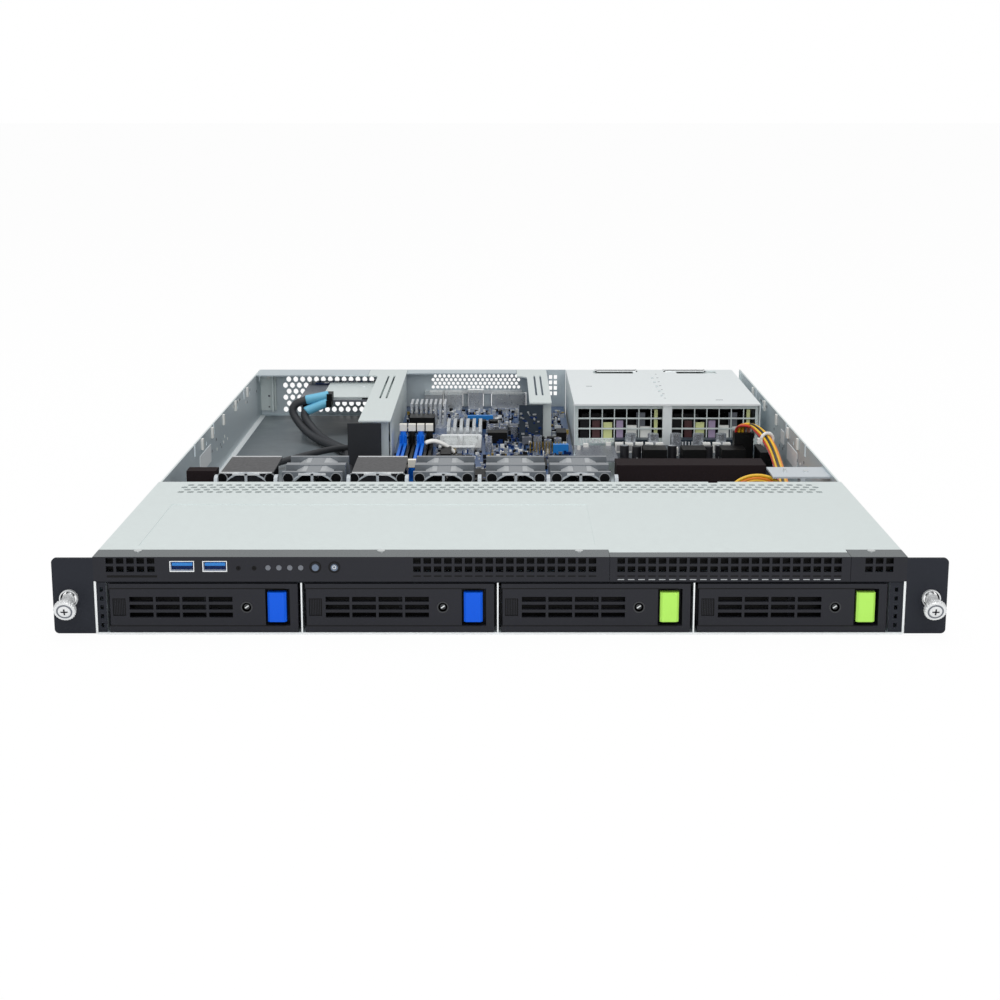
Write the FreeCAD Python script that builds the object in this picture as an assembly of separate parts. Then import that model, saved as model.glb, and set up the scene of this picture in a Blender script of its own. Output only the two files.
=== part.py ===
"""A 1U rack server: chassis, four hot-swap trays, front controls, fans, mainboard, risers, power supplies.

Rack coordinates: X to the right, Y towards the rear from the front face of the rack ears, Z up from the
underside of the chassis. Every piece is moved by one vector at the end, so that the origin of the part lies
under the middle of its bounding box.
"""
import FreeCAD
import Part
import math
import os

V = FreeCAD.Vector

# ---------------------------------------------------------------- driving dimensions, millimetres
chassis_w = 438.0          # outside width of the side walls
chassis_d = 690.0          # ear face to the rear face of the rear panel
chassis_h = 43.5           # underside to the top of the covers
sheet = 1.2                # chassis sheet
cover_t = 1.0              # front cover sheet
bend_r = 1.6               # outside radius of the floor to wall bends
fit = 0.1                  # running clearance between sliding pieces, each side
slack = 0.3                # loose clearance between pieces that must not bind

ear_w = 22.3               # one ear's flange, outwards from the side wall
ear_h = 42.0
ear_t = 2.0
ear_corner = 2.5
ear_leg = 34.0             # length of the ear's leg along the side wall
screw_edge = 8.75          # captive screw from the ear's outer edge
screw_z = 20.5
droop = 20.0               # degrees that a loose captive screw hangs down

bezel_h = 13.6             # height of the bezel over the drive bays
bezel_t = 1.5              # bezel front wall
filler_section = 129.7     # width of the bezel's filler section
end_section = 30.3         # width of its end section
band_deep = 16.0           # depth of the bezel's top band, controls and end
band_shallow = 9.8         # the same on the filler
vent_pitch = 5.55
vent_w = 4.1
vent_h = 3.2

bay_margin = 7.0           # from the outside of a side wall to the first bay
tray_shift = -1.2          # middle of the four bays from the middle of the chassis
tray_gap = 4.0             # between two moulded fronts
tray_z = 1.5
tray_rail_t = 1.2
tray_frame_y = 9.0         # front of the tray's back plate
tray_frame_t = 2.0
divider_t = 0.8
cage_top_t = 0.9           # sheet over the bays
lever_t = 3.0
pivot_y = 2.6
pivot_r = 1.0
latch_travel = 1.8

cover_end = 194.0          # rear edge of the front cover
cage_len = 176.0

fan_y = 231.0
fan_len = 56.0
fan_floor = 2.2            # top of the fan bracket's base
fan_flange = 4.0
post_t = 2.4

board_z = 7.6              # underside of the mainboard
board_t = 1.6
board_w = 144.0

psu_w = 73.5
psu_len = 185.0
psu_z = 1.5
psu_sheet = 0.8
cage_sheet = 0.8           # power supply cage

# ---------------------------------------------------------------- values worked out from these
half_w = chassis_w / 2
wall_x = half_w - sheet                        # inside face of a side wall
wall_top = chassis_h - cover_t                 # walls stop under the covers
strip_z = wall_top - sheet                     # underside of the sheet level with the lid's seat
ear_span = chassis_w + 2 * ear_w
bay_z = chassis_h - bezel_h                    # underside of the bezel, top of the drive cage
bezel_split_2 = half_w - end_section           # filler to end
bezel_split_1 = bezel_split_2 - filler_section  # controls to filler
vent_row_2 = chassis_h - 2.2                   # middle height of the upper row of vent holes
vent_row_1 = vent_row_2 - vent_h - 1.4

tray_pitch = (chassis_w - 2 * bay_margin) / 4
tray_w = tray_pitch - tray_gap                 # moulded front
tray_h = bay_z - cage_top_t - 0.5 - tray_z
tray_mid = tray_z + tray_h / 2 + 0.5
tray_len = cage_len - 8.0
tray_xs = [tray_shift + (i - 1.5) * tray_pitch for i in range(4)]
divider_xs = [tray_shift + i * tray_pitch for i in (-1, 0, 1)]
rail_x = tray_pitch / 2 - divider_t / 2 - slack  # outside of a tray rail from the tray's middle
lever_z1 = tray_z + 3.8
lever_z2 = tray_z + tray_h - 2.9
pivot_x = 2.9 - tray_w / 2                     # lever pin from the middle of the tray
backplane_y = cage_len + 2.0

fan_size = wall_top - fan_floor - slack
fan_bore = fan_size / 2 - 1.4                  # radius
blade_tip = fan_bore - 0.7
fan_end = fan_y + fan_len
fan_row_x = 30.1 - wall_x                      # first post of the fan bracket
post_xs = [fan_row_x + x * fan_size / 40 for x in (0, 39.5, 87.6, 126.1, 174.2, 219.7, 264.7)]
fan_xs = [fan_row_x + x * fan_size / 40 for x in (63.2, 150.2, 198.2, 241.2)]
blank_xs = [fan_row_x + x * fan_size / 40 for x in (19.7, 106.7)]

psu_gap = 0.35
psu_h = strip_z - psu_z - 0.4
psu_y = chassis_d - 0.5 - psu_len              # inner end
cage_y1 = psu_y - 4.5
cage_x2 = wall_x - 7.0
cage_x1 = cage_x2 - 3 * cage_sheet - 4 * psu_gap - 2 * psu_w
psu_xs = (cage_x1 + cage_sheet + psu_gap + psu_w / 2,
          cage_x1 + 2 * cage_sheet + 3 * psu_gap + psu_w * 1.5)

board_top = board_z + board_t
board_x2 = cage_x1 - 2.0
board_x1 = board_x2 - board_w
board_y1 = fan_end + 13.0
board_y2 = chassis_d - 4.0

NODES = {}


# ---------------------------------------------------------------- shape helpers
def box(x1, x2, y1, y2, z1, z2):
    """A block between two values on each axis."""
    return Part.makeBox(x2 - x1, y2 - y1, z2 - z1, V(x1, y1, z1))


def polygon(points):
    """A closed wire through points."""
    return Part.makePolygon([V(*p) for p in points] + [V(*points[0])])


def prism(points, direction):
    """A flat outline carried straight along a vector."""
    return Part.Face(polygon(points)).extrude(V(*direction))


def rect_z(x1, x2, y1, y2, z):
    return polygon([(x1, y1, z), (x2, y1, z), (x2, y2, z), (x1, y2, z)])


def rect_y(x1, x2, z1, z2, y):
    return polygon([(x1, y, z1), (x2, y, z1), (x2, y, z2), (x1, y, z2)])


def pierced(outer, holes, direction):
    """A sheet with openings: the outline and every opening are carried along one vector."""
    return Part.makeFace([outer] + holes, "Part::FaceMakerBullseye").extrude(V(*direction))


def joined(first, *others):
    """One solid from pieces that share material or faces."""
    return first.fuse(list(others)).removeSplitter()


def ring_points(x, z, radius, sides, y):
    """Corners of a regular outline in an upright plane, its flats at the given distance from the middle."""
    reach = radius / math.cos(math.pi / sides)
    return [(x + reach * math.cos(2 * math.pi * (k + 0.5) / sides), y,
             z + reach * math.sin(2 * math.pi * (k + 0.5) / sides)) for k in range(sides)]


def small_hole(x, z, radius, y=0.0, sides=12):
    """A small round opening, drawn with few flats."""
    return polygon(ring_points(x, z, radius, sides, y))


def small_bar(x, y, z, radius, length, sides=12):
    """A small round bar along Y, drawn with few flats and its corners on the circle."""
    return prism(ring_points(x, z, radius * math.cos(math.pi / sides), sides, y), (0, length, 0))


def small_post(x, y, z, radius, length, sides=12):
    """A small upright round or hexagonal post, drawn with few flats."""
    corners = [(x + radius * math.cos(2 * math.pi * k / sides),
                y + radius * math.sin(2 * math.pi * k / sides), z)
               for k in range(sides)]
    return prism(corners, (0, 0, length))


def moved(shape, x=0.0, y=0.0, z=0.0):
    copy = shape.copy()
    copy.translate(V(x, y, z))
    return copy


def mirrored(shape):
    """The same piece on the other side of the chassis."""
    return shape.mirror(V(0, 0, 0), V(1, 0, 0))


def tube(points, radius, flats):
    """A cable of a few flats: straight runs joined by tangent arcs, each as large as its runs allow."""
    corners = [V(*p) for p in points]
    edges = []
    start = corners[0]
    radii = []
    for before, corner, after in zip(corners, corners[1:], corners[2:]):
        back = before - corner
        ahead = after - corner
        half_turn = (math.pi - back.getAngle(ahead)) / 2
        cut = 0.45 * min(back.Length, ahead.Length)
        bend = cut / math.tan(half_turn)
        radii.append(round(bend, 1))
        back.normalize()
        ahead.normalize()
        middle = corner + (back + ahead).normalize() * bend * (1 / math.cos(half_turn) - 1)
        enter = corner + back * cut
        leave = corner + ahead * cut
        edges.append(Part.LineSegment(start, enter).toShape())
        edges.append(Part.Arc(enter, middle, leave).toShape())
        start = leave
    edges.append(Part.LineSegment(start, corners[-1]).toShape())
    path = Part.Wire(edges)
    along = (corners[1] - corners[0]).normalize()
    across = along.cross(V(0, 0, 1)).normalize()
    rim = [corners[0] + FreeCAD.Rotation(along, 360.0 / flats * k).multVec(across) * radius
           for k in range(flats)]
    solid = path.makePipeShell([Part.makePolygon(rim + rim[:1])], True, False)
    section = flats / 2 * math.sin(2 * math.pi / flats) * radius ** 2
    print("cable radii", radii, "volume ratio", round(solid.Volume / (section * path.Length), 4))
    return solid


def add(name, *solids):
    NODES[name] = list(solids)


# ---------------------------------------------------------------- chassis and covers
notch_ys = (325.0, 412.0, chassis_d - 113.0, chassis_d - 13.0)
hole_ys = (376.0, 461.0, chassis_d - 152.0, chassis_d - 79.0)


def chassis_base():
    """One pan of sheet steel, bent up along both sides, with the lid's hook slots and rail holes."""
    half = chassis_w / 2
    pan = box(-half, half, slack, chassis_d, 0, wall_top)
    edges = [e for e in pan.Edges if e.Length > chassis_d / 2 and abs(e.BoundBox.ZMax) < 0.01
             and e.BoundBox.XLength < 0.01]
    pan = pan.makeFillet(bend_r, edges)
    pan = pan.cut(box(-wall_x, wall_x, -1, chassis_d + 1, sheet, wall_top + 1))
    cuts = [box(-half - 1, half + 1, -1, bezel_t, bay_z, wall_top + 1)]
    for y in notch_ys:
        cuts.append(box(-half - 1, half + 1, y - 2.5, y + 2.5, wall_top - 8.5, wall_top + 1))
    for y in hole_ys:
        across = small_bar(0, -half - 1, wall_top - 8.5, 1.9, chassis_w + 2, 8)
        across.rotate(V(0, 0, 0), V(0, 0, 1), -90)
        cuts.append(moved(across, y=y))
    return pan.cut(Part.makeCompound(cuts))


rear_t = sheet
rear_y = chassis_d - rear_t
lan_x = (board_x1 + 26.0, board_x1 + 44.0)
lan_w = 16.0
lan_h = 13.6
port_z = board_top
usb_rear_x = board_x1 + 64.0
vga_x = board_x2 - 50.0
bracket_clear = 0.3
left_bracket_x = (board_x1 - 22.7, board_x1 + 2.0)
left_bracket_y = board_y1 + 124.0
right_bracket_x = (board_x2 - 34.0, board_x2 - 16.0)
right_bracket_y = board_y1 + 208.0
corner_r = 9.0
strip_y = rear_y - 31.8


def hexagon(x, z, y, radius):
    return polygon([(x + radius * math.cos(math.radians(60 * k + 30)), y,
                     z + radius * math.sin(math.radians(60 * k + 30))) for k in range(6)])


def hex_field(x1, x2, z1, z2, y, pitch, radius):
    """Staggered rows of hexagons that fill a rectangle."""
    rows = int((z2 - z1 - 2 * radius) / (pitch * 0.866)) + 1
    found = []
    for row in range(rows):
        z = (z1 + z2) / 2 + (row - (rows - 1) / 2) * pitch * 0.866
        inset = radius + (pitch / 2 if row % 2 else 0)
        count = int((x2 - x1 - inset - radius) / pitch) + 1
        found += [hexagon(x1 + inset + k * pitch, z, y, radius) for k in range(count)]
    return found


def rear_panel():
    """The rear wall left of the power supplies, with meshes, port cut-outs and a folded top strip."""
    x2 = cage_x1 - slack
    holes = hex_field(17.8 - wall_x, left_bracket_x[0] - 3.3, sheet + 2.8, wall_top - 5.5, rear_y, 11.0, 4.7)
    holes += hex_field(board_x1 + 22, board_x2 - 38, port_z + 16.3, wall_top - 4, rear_y, 11.0, 4.7)
    holes += [rect_y(x - lan_w / 2 - slack, x + lan_w / 2 + slack, port_z - slack, port_z + lan_h + slack,
                     rear_y)
              for x in lan_x]
    holes.append(rect_y(usb_rear_x - 7, usb_rear_x + 7, port_z - slack, port_z + 15.6, rear_y))
    holes.append(rect_y(vga_x - 16, vga_x + 16, port_z - slack, port_z + 12.6, rear_y))
    wall = pierced(rect_y(-wall_x, x2, sheet, wall_top, rear_y), holes, (0, rear_t, 0))
    left_end = left_bracket_x[0] - corner_r - bracket_clear
    strips = [box(-wall_x, left_end, strip_y, rear_y, strip_z, wall_top),
              box(left_bracket_x[1] + bracket_clear, right_bracket_x[0] - corner_r - bracket_clear,
                  strip_y + 12, rear_y, strip_z, wall_top)]
    return joined(wall, *strips)


slot_field = half_w - 16.5  # half the width of the band of slots
slot_y1 = cover_end - 32.0
slot_rows = 4
slot_row_pitch = 7.0
slot_columns = 8
slot_len = 2 * slot_field / slot_columns - 8.6
slot_w = 2.2


def front_cover():
    """The fixed front lid: a pressed field, a band of slots, folded sides and a lip under the bezel."""
    z1 = wall_top
    half = chassis_w / 2
    y_deep = band_deep + 0.2
    y_shallow = band_shallow + 0.2
    outline = polygon([(-half, y_deep, z1), (bezel_split_1 + 0.2, y_deep, z1),
                       (bezel_split_1 + 0.2, y_shallow, z1),
                       (bezel_split_2 - 0.2, y_shallow, z1), (bezel_split_2 - 0.2, y_deep, z1),
                       (half, y_deep, z1),
                       (half, cover_end, z1), (-half, cover_end, z1)])
    holes = []
    slot_pitch = 2 * slot_field / slot_columns
    for row in range(slot_rows):
        y = slot_y1 + row * slot_row_pitch
        for k in range(slot_columns):
            x = -slot_field + slot_pitch * (k + (0.4 if row % 2 else 0.6))
            holes.append(rect_z(x - slot_len / 2, x + slot_len / 2, y - slot_w / 2, y + slot_w / 2, z1))
    lid = pierced(outline, holes, (0, 0, cover_t))
    lid = lid.cut(box(20 - half, bezel_split_1 - 6.5, 24.0, cover_end - 65.4, chassis_h - 0.25,
                      chassis_h + 1))
    lip = box(-half + 2, half - 2, 6.0, y_deep + 2, z1 - cover_t, z1)
    lip = lip.cut(Part.makeCompound([screw_hole(x, y) for x, y in bezel_screw_spots]))
    side = box(wall_x - slack - cover_t, wall_x - slack, 22.0, cover_end - 6, wall_top - 7, z1)
    return joined(lid, lip, side, mirrored(side))


screw_r = 1.3
bezel_screw_spots = [(x, band_deep - 3.2)
                     for x in (22 - half_w, 154.4 - half_w, bezel_split_1 - 16, half_w - 17)]


def screw_hole(x, y):
    """The cutter for a bezel screw's hole through the band and the lip."""
    return small_post(x, y, wall_top - 5, (screw_r + 0.05) / math.cos(math.pi / 8), 10, 8)


def bezel_screws():
    """Low flat-headed screws that hold the bezel's top band to the cover's lip."""
    solids = []
    for x, y in bezel_screw_spots:
        head = small_post(x, y, chassis_h, 2.2, 0.4, 16)
        shank = small_post(x, y, chassis_h - 2 * cover_t - 1.5, screw_r, 2 * cover_t + 1.5, 8)
        solids.append(joined(head, shank))
    return solids


# ---------------------------------------------------------------- rack ears and captive screws
screw_x = ear_span / 2 - screw_edge
shank_r = 2.4
neck_r = 3.6
knob_r = 6.1
ferrule_out = 5.0
ferrule_in = 4.35
ferrule_len = 2.0
ear_z = (chassis_h - ear_h) / 2
ear_hole = 3.9


def ear():
    """The left ear: a front flange with the screw's hole and a leg screwed to the outside of the wall."""
    half = chassis_w / 2
    outer = ear_span / 2
    z2 = ear_z + ear_h
    flange = box(-outer, -half, 0, ear_t, ear_z, z2)
    corners = [e for e in flange.Edges
               if e.BoundBox.XMax < -outer + 0.01 and e.BoundBox.YLength > ear_t - 0.01]
    flange = flange.makeFillet(ear_corner, corners)
    flange = flange.cut(small_bar(-screw_x, -1, screw_z, ear_hole, ear_t + 2, 20))
    leg = box(-half - 1.5, -half, ear_t, ear_leg, ear_z + 3, z2 - 3)
    return joined(flange, leg)


def ear_ferrule():
    """The pressed collar that the captive screw hangs in."""
    hole = small_hole(-screw_x, screw_z, ferrule_in, -ferrule_len, 24)
    return pierced(small_hole(-screw_x, screw_z, ferrule_out, -ferrule_len, 24), [hole], (0, ferrule_len, 0))


def captive_screw():
    """A knob with a cross recess, a plain neck and a shank, hung at an angle in its collar."""
    knob = small_bar(0, -11.8, 0, knob_r, 3.0, 24)
    knob = knob.makeChamfer(0.5, [e for e in knob.Edges if e.BoundBox.YMax < -11.7])
    cross = [box(-2.2, 2.2, -11.9, -10.0, -0.5, 0.5), box(-0.5, 0.5, -11.9, -10.0, -2.2, 2.2)]
    knob = knob.cut(cross[0]).cut(cross[1])
    neck = small_bar(0, -8.8, 0, neck_r, 8.6, 20)
    shank = small_bar(0, -0.2, 0, shank_r, 8.2)
    screw = joined(knob, neck, shank)
    screw.rotate(V(0, 0, 0), V(1, 0, 0), droop)
    return moved(screw, x=-screw_x, y=-ferrule_len / 2, z=screw_z - 0.05)


# ---------------------------------------------------------------- bezel
def vent_block(x1, x2):
    """Two rows of square holes, as many as fit between two places."""
    count = int((x2 - x1 + vent_pitch - vent_w) / vent_pitch)
    return [rect_y(x1 + k * vent_pitch, x1 + k * vent_pitch + vent_w, z - vent_h / 2, z + vent_h / 2, 0)
            for k in range(count) for z in (vent_row_1, vent_row_2)]


usb_xs = (47.9 - half_w, 65.6 - half_w)
usb_w = 13.2
usb_z2 = chassis_h - 2.3
usb_z1 = usb_z2 - 6.0
led_xs = [94.2 - half_w + 5.87 * k for k in range(4)]
led_z = chassis_h - 6.1
led_r = 1.5
pin_xs = (78.3 - half_w, 86.8 - half_w)
button_xs = (119.7 - half_w, 129.9 - half_w)
button_z = chassis_h - 5.9
button_r = 1.85
button_ring = 2.75
pin_hole_r = 0.8


def bezel_section(x1, x2, band, holes):
    """One section of the bezel: a front wall with its openings, a top band and a bottom lip."""
    wall = pierced(rect_y(x1, x2, bay_z, chassis_h, 0), holes, (0, bezel_t, 0))
    top = box(x1, x2, bezel_t, band, wall_top, chassis_h)
    lip = box(max(x1, slack - wall_x), min(x2, wall_x - slack), bezel_t, 4.0, bay_z, bay_z + 1.0)
    return joined(wall, top, lip)


def control_bezel():
    """The section with the vents, the sockets, the lamps and the buttons."""
    holes = vent_block(7 - half_w, 34.9 - half_w) + vent_block(172.3 - half_w, bezel_split_1 - 5.8)
    holes += [rect_y(x - usb_w / 2 - fit, x + usb_w / 2 + fit, usb_z1 - fit, usb_z2 + fit, 0)
              for x in usb_xs]
    holes += [small_hole(x, led_z, led_r + fit) for x in led_xs]
    holes += [small_hole(x, button_z, pin_hole_r) for x in pin_xs]
    holes += [small_hole(x, button_z, button_r + fit, sides=16) for x in button_xs]
    section = bezel_section(-chassis_w / 2, bezel_split_1 - fit, band_deep, holes)
    return section.cut(Part.makeCompound([screw_hole(x, y) for x, y in bezel_screw_spots[:3]]))


def filler_bezel():
    return bezel_section(bezel_split_1 + fit, bezel_split_2 - fit, band_shallow,
                         vent_block(bezel_split_1 + 4.1, bezel_split_2 - 3.5))


def end_bezel():
    section = bezel_section(bezel_split_2 + fit, chassis_w / 2, band_deep,
                            vent_block(bezel_split_2 + 7.7, half_w - 6))
    return section.cut(screw_hole(*bezel_screw_spots[3]))


# ---------------------------------------------------------------- front panel board and buttons
panel_z = usb_z1 - 1.4      # underside of the front panel board
button_gap = 0.3            # between a button's flange and the bezel
button_flange = 0.8
button_travel = 0.8
pin_travel = 0.3


def usb_port(x):
    """A sheet-metal shell with its contact tongue."""
    shell = box(x - usb_w / 2, x + usb_w / 2, 0.1, 14, usb_z1, usb_z2)
    shell = shell.cut(box(x - usb_w / 2 + 0.4, x + usb_w / 2 - 0.4, -1, 13, usb_z1 + 0.4, usb_z2 - 0.4))
    tongue = box(x - 5.5, x + 5.5, 1.2, 13, usb_z2 - 2.9, usb_z2 - 1.2)
    return joined(shell, tongue)


def front_panel_board():
    """The board behind the controls, with sockets, switch bodies and lamp pipes, on three standoffs."""
    top = usb_z1
    board = box(35 - half_w, 137 - half_w, 3.0, 22.0, panel_z, top)
    solids = [board]
    solids += [usb_port(x) for x in usb_xs]
    reach = bezel_t + button_gap + button_flange
    for x in button_xs:
        solids.append(box(x - 2.6, x + 2.6, reach + button_travel + fit, reach + 5, top, button_z + 2.4))
    for x in pin_xs:
        solids.append(box(x - 2.2, x + 2.2, reach + pin_travel + fit, reach + 4, top, button_z + 2.0))
    for x in led_xs:
        solids.append(small_bar(x, 0.2, led_z, led_r, bezel_t + 1.5))
        solids.append(box(x - led_r, x + led_r, bezel_t + 1.7, bezel_t + 4, top, led_z + led_r))
    solids += [small_post(x, 15, bay_z, 1.8, panel_z - bay_z, 6)
               for x in (39 - half_w, 86 - half_w, 133 - half_w)]
    return solids


def push_button(x):
    """A round cap with a square skirt that keeps it behind the bezel."""
    cap = small_bar(x, -0.3, button_z, button_r, bezel_t + button_gap + 0.3, 16)
    y = bezel_t + button_gap
    flange = box(x - button_ring, x + button_ring, y, y + button_flange, usb_z1 + fit,
                 button_z + button_ring)
    return joined(cap, flange)


def pin_button(x):
    """A recessed plunger that only a pin reaches."""
    stub = small_bar(x, 0.7, button_z, pin_hole_r - fit, bezel_t + button_gap - 0.7)
    y = bezel_t + button_gap
    flange = box(x - 1.6, x + 1.6, y, y + button_flange, usb_z1 + fit, button_z + 1.6)
    return joined(stub, flange)


# ---------------------------------------------------------------- drive cage, trays, levers and latches
cage_top = bay_z - cage_top_t


def drive_cage():
    """The top sheet, three dividers, and a folded guide with a pierced flange at each side."""
    solids = [box(-wall_x, wall_x, bezel_t, cage_len, cage_top, bay_z)]
    for x in divider_xs:
        solids.append(box(x - divider_t / 2, x + divider_t / 2, slack, cage_len, sheet, cage_top))
    for side, tray_x in ((-1, tray_xs[0]), (1, tray_xs[-1])):
        near = tray_x + side * (rail_x + slack)
        far = side * wall_x
        guide = box(min(near, near + side * divider_t), max(near, near + side * divider_t), 1.2, cage_len,
                    sheet, cage_top)
        low, high = sorted((near, far))
        middle = (low + high) / 2
        holes = [rect_y(middle - 0.9, middle + 0.9, z - 1.2, z + 1.2, 1.2)
                 for z in (5, 10, 15, 20, tray_h - 2)]
        flange = pierced(rect_y(low, high, sheet, cage_top, 1.2), holes, (0, 1.0, 0))
        solids.append(joined(guide, flange))
    return solids


grille_x = 11 - tray_w / 2
lock_x = tray_w / 2 - 27.7
lock_z = tray_mid
lock_r = 3.2
grille_pitch = (lock_x - 6.1 - grille_x) / 4
grille_w = grille_pitch - 1.4
grille_zs = (tray_mid - 4.4, tray_mid, tray_mid + 4.4)
grille_h = 2.8
recess_x1 = tray_w / 2 - 17.3   # latch recess, from the tray's middle
recess_x2 = tray_w / 2 - 4.3
latch_x1 = recess_x1 + 1.0
latch_x2 = recess_x2 - 1.9
stem_x1 = latch_x1 + 2.3
stem_x2 = stem_x1 + 4.0


def tray(x):
    """A moulded front with the lever's pin, on a folded steel carrier that is open to the rear."""
    half = tray_w / 2
    z2 = tray_z + tray_h
    back = tray_frame_y
    top = box(x - half, x + half, 0, back, lever_z2 + 0.2, z2)
    bottom = box(x - half, x + half, 0, back, tray_z, lever_z1 - 0.2)
    right = box(x + recess_x2, x + half, 0, back, tray_z, z2)
    holes = [rect_y(x + a, x + b, tray_mid - 7.5, tray_mid + 7.5, back)
             for a, b in ((grille_x - 4, -1), (1, lock_x + 4.7))]
    holes.append(rect_y(x + stem_x1 - fit, x + stem_x2 + latch_travel + fit, tray_mid - 3.5 - fit,
                        tray_mid + 3.5 + fit, back))
    plate = pierced(rect_y(x - half, x + half, tray_z, z2, back), holes, (0, tray_frame_t, 0))
    pin = small_post(x + pivot_x, pivot_y, lever_z1 - 0.2, pivot_r, lever_z2 - lever_z1 + 0.4)
    front = joined(top, bottom, right, plate, pin)
    y1 = back + tray_frame_t
    floor_holes = [rect_z(x + 14.3 - rail_x, x + rail_x - 14.3, y1 + y, y1 + y + 30, tray_z)
                   for y in (30, 80)]
    floor = pierced(rect_z(x - rail_x, x + rail_x, y1, tray_len, tray_z), floor_holes, (0, 0, 1.0))
    rails = [box(x + s * rail_x - (tray_rail_t if s > 0 else 0),
                 x + s * rail_x + (0 if s > 0 else tray_rail_t),
                 y1, tray_len, tray_z, tray_z + tray_h - 5) for s in (-1, 1)]
    return [front, joined(floor, *rails)]


def tray_lever(x):
    """The swinging front panel: a grille, a window, a lock hole and a barrel around the pin."""
    x1 = x - tray_w / 2 + 0.6
    x2 = x + recess_x1 - 0.2
    holes = [rect_y(x + grille_x + k * grille_pitch, x + grille_x + k * grille_pitch + grille_w,
                    z - grille_h / 2, z + grille_h / 2, 0) for k in range(4) for z in grille_zs]
    holes.append(small_hole(x + lock_x, lock_z, lock_r, sides=16))
    panel = pierced(rect_y(x1, x2, lever_z1, lever_z2, 0), holes, (0, lever_t, 0))
    barrel = small_post(x + pivot_x, pivot_y, lever_z1, 2.3, lever_z2 - lever_z1, 16)
    lever = joined(panel, barrel)
    lever = lever.cut(box(x + grille_x - 9.0, x + grille_x - 2.0, -1, 1.0, tray_mid - 4.9, tray_mid + 4.9))
    return lever.cut(small_post(x + pivot_x, pivot_y, lever_z1 - 1,
                                (pivot_r + fit) / math.cos(math.pi / 12), tray_h))


def tray_latch(x):
    """The coloured tab: a bowed thumb face on a stem that slides in the back plate."""
    a, b = x + latch_x1, x + latch_x2
    z = lever_z1 + 2.1
    outline = [(a, 0.2, z), (a + 1.2, -0.9, z), (b - 1.2, -0.9, z), (b, 0.2, z), (b, 4.0, z), (a, 4.0, z)]
    tab = prism(outline, (0, 0, lever_z2 - 1.8 - z))
    stem = box(x + stem_x1, x + stem_x2, 4.0, tray_frame_y + tray_frame_t + 0.6, tray_mid - 3.5,
               tray_mid + 3.5)
    foot = box(x + stem_x1 - 1.4, x + stem_x2, 7.5, tray_frame_y - fit, tray_mid - 4.9, tray_mid + 4.9)
    return joined(tab, stem, foot)


backplane_headers = (97.8 - wall_x, -30.0, 60.0, wall_x - 37.8)
header_deep = 9.0


def backplane():
    """The upright board that the drives plug into, with a connector for each bay."""
    holes = [rect_y(x - 46, x + 32, 17, 26, backplane_y) for x in tray_xs]
    board = pierced(rect_y(7.8 - wall_x, wall_x - 9.8, sheet, wall_top - 2.5, backplane_y), holes,
                    (0, board_t, 0))
    solids = [board]
    for x in tray_xs:
        body = box(x - 40, x - 7, backplane_y - 7, backplane_y, 5, 10.5)
        solids.append(body.cut(box(x - 37, x - 10, backplane_y - 8, backplane_y - 3, 6.5, 9.0)))
    y = backplane_y + board_t
    solids += [box(x - 9, x + 9, y, y + header_deep, 6, 13) for x in backplane_headers]
    return solids


# ---------------------------------------------------------------- fans
def fan_bracket():
    """A floor plate with a post between each pair of fan bays, and a folded guard over the cables."""
    x1 = post_xs[0] - post_t / 2
    x2 = post_xs[-1] + post_t / 2
    y1 = fan_y - 7
    base = box(x1, x2, y1, fan_end + 5, sheet, fan_floor)
    posts = []
    top = fan_floor + fan_size - 2.0
    for x in post_xs:
        outline = [(x - post_t / 2, y1, fan_floor), (x - post_t / 2, y1, top - 4),
                   (x - post_t / 2, y1 + 2, top - 1),
                   (x - post_t / 2, y1 + 5, top), (x - post_t / 2, y1 + 9, top),
                   (x - post_t / 2, y1 + 9, 14.0),
                   (x - post_t / 2, fan_end + 5, 14.0), (x - post_t / 2, fan_end + 5, fan_floor)]
        posts.append(prism(outline, (post_t, 0, 0)))
    guard = box(wall_x - 37.8, wall_x, y1, fan_y + 25, wall_top - 3.2, wall_top - 2.0)
    leg = box(wall_x - 19.8, wall_x - 16.8, y1, y1 + 12, sheet, wall_top - 3.2)
    return [base] + posts + [joined(guard, leg)]


fan_z = fan_floor + fan_size / 2
hub_r = 10.6
mount_t = 5.0
shaft_r = 1.05
blade_count = 5


def fan_housing(x):
    """A square frame with waisted sides around one straight duct, and a motor mount held by four struts."""
    half = fan_size / 2
    y_mid = fan_y + fan_len / 2

    def flange(y1, y2):
        return box(x - half, x + half, y1, y2, fan_z - half, fan_z + half)

    barrel = prism(ring_points(x, fan_z, fan_bore + 1.0, 16, fan_y), (0, fan_len, 0))
    frame = joined(barrel, flange(fan_y, fan_y + fan_flange), flange(y_mid - fan_flange, y_mid + fan_flange),
                   flange(fan_end - fan_flange, fan_end))
    frame = frame.cut(prism(ring_points(x, fan_z, fan_bore, 20, fan_y - 1), (0, fan_len + 2, 0)))
    mount = prism(ring_points(x, fan_z, hub_r, 16, y_mid - mount_t / 2), (0, mount_t, 0))
    strut = box(x - fan_bore - 0.5, x + fan_bore + 0.5, y_mid - 2, y_mid + 2, fan_z - 0.8, fan_z + 0.8)
    cross = box(x - 0.8, x + 0.8, y_mid - 2, y_mid + 2, fan_z - fan_bore - 0.5, fan_z + fan_bore + 0.5)
    frame = joined(frame, mount, strut, cross)
    return frame.cut(prism(ring_points(x, fan_z, shaft_r + fit / 2, 12, y_mid - 10), (0, 20, 0)))


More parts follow.
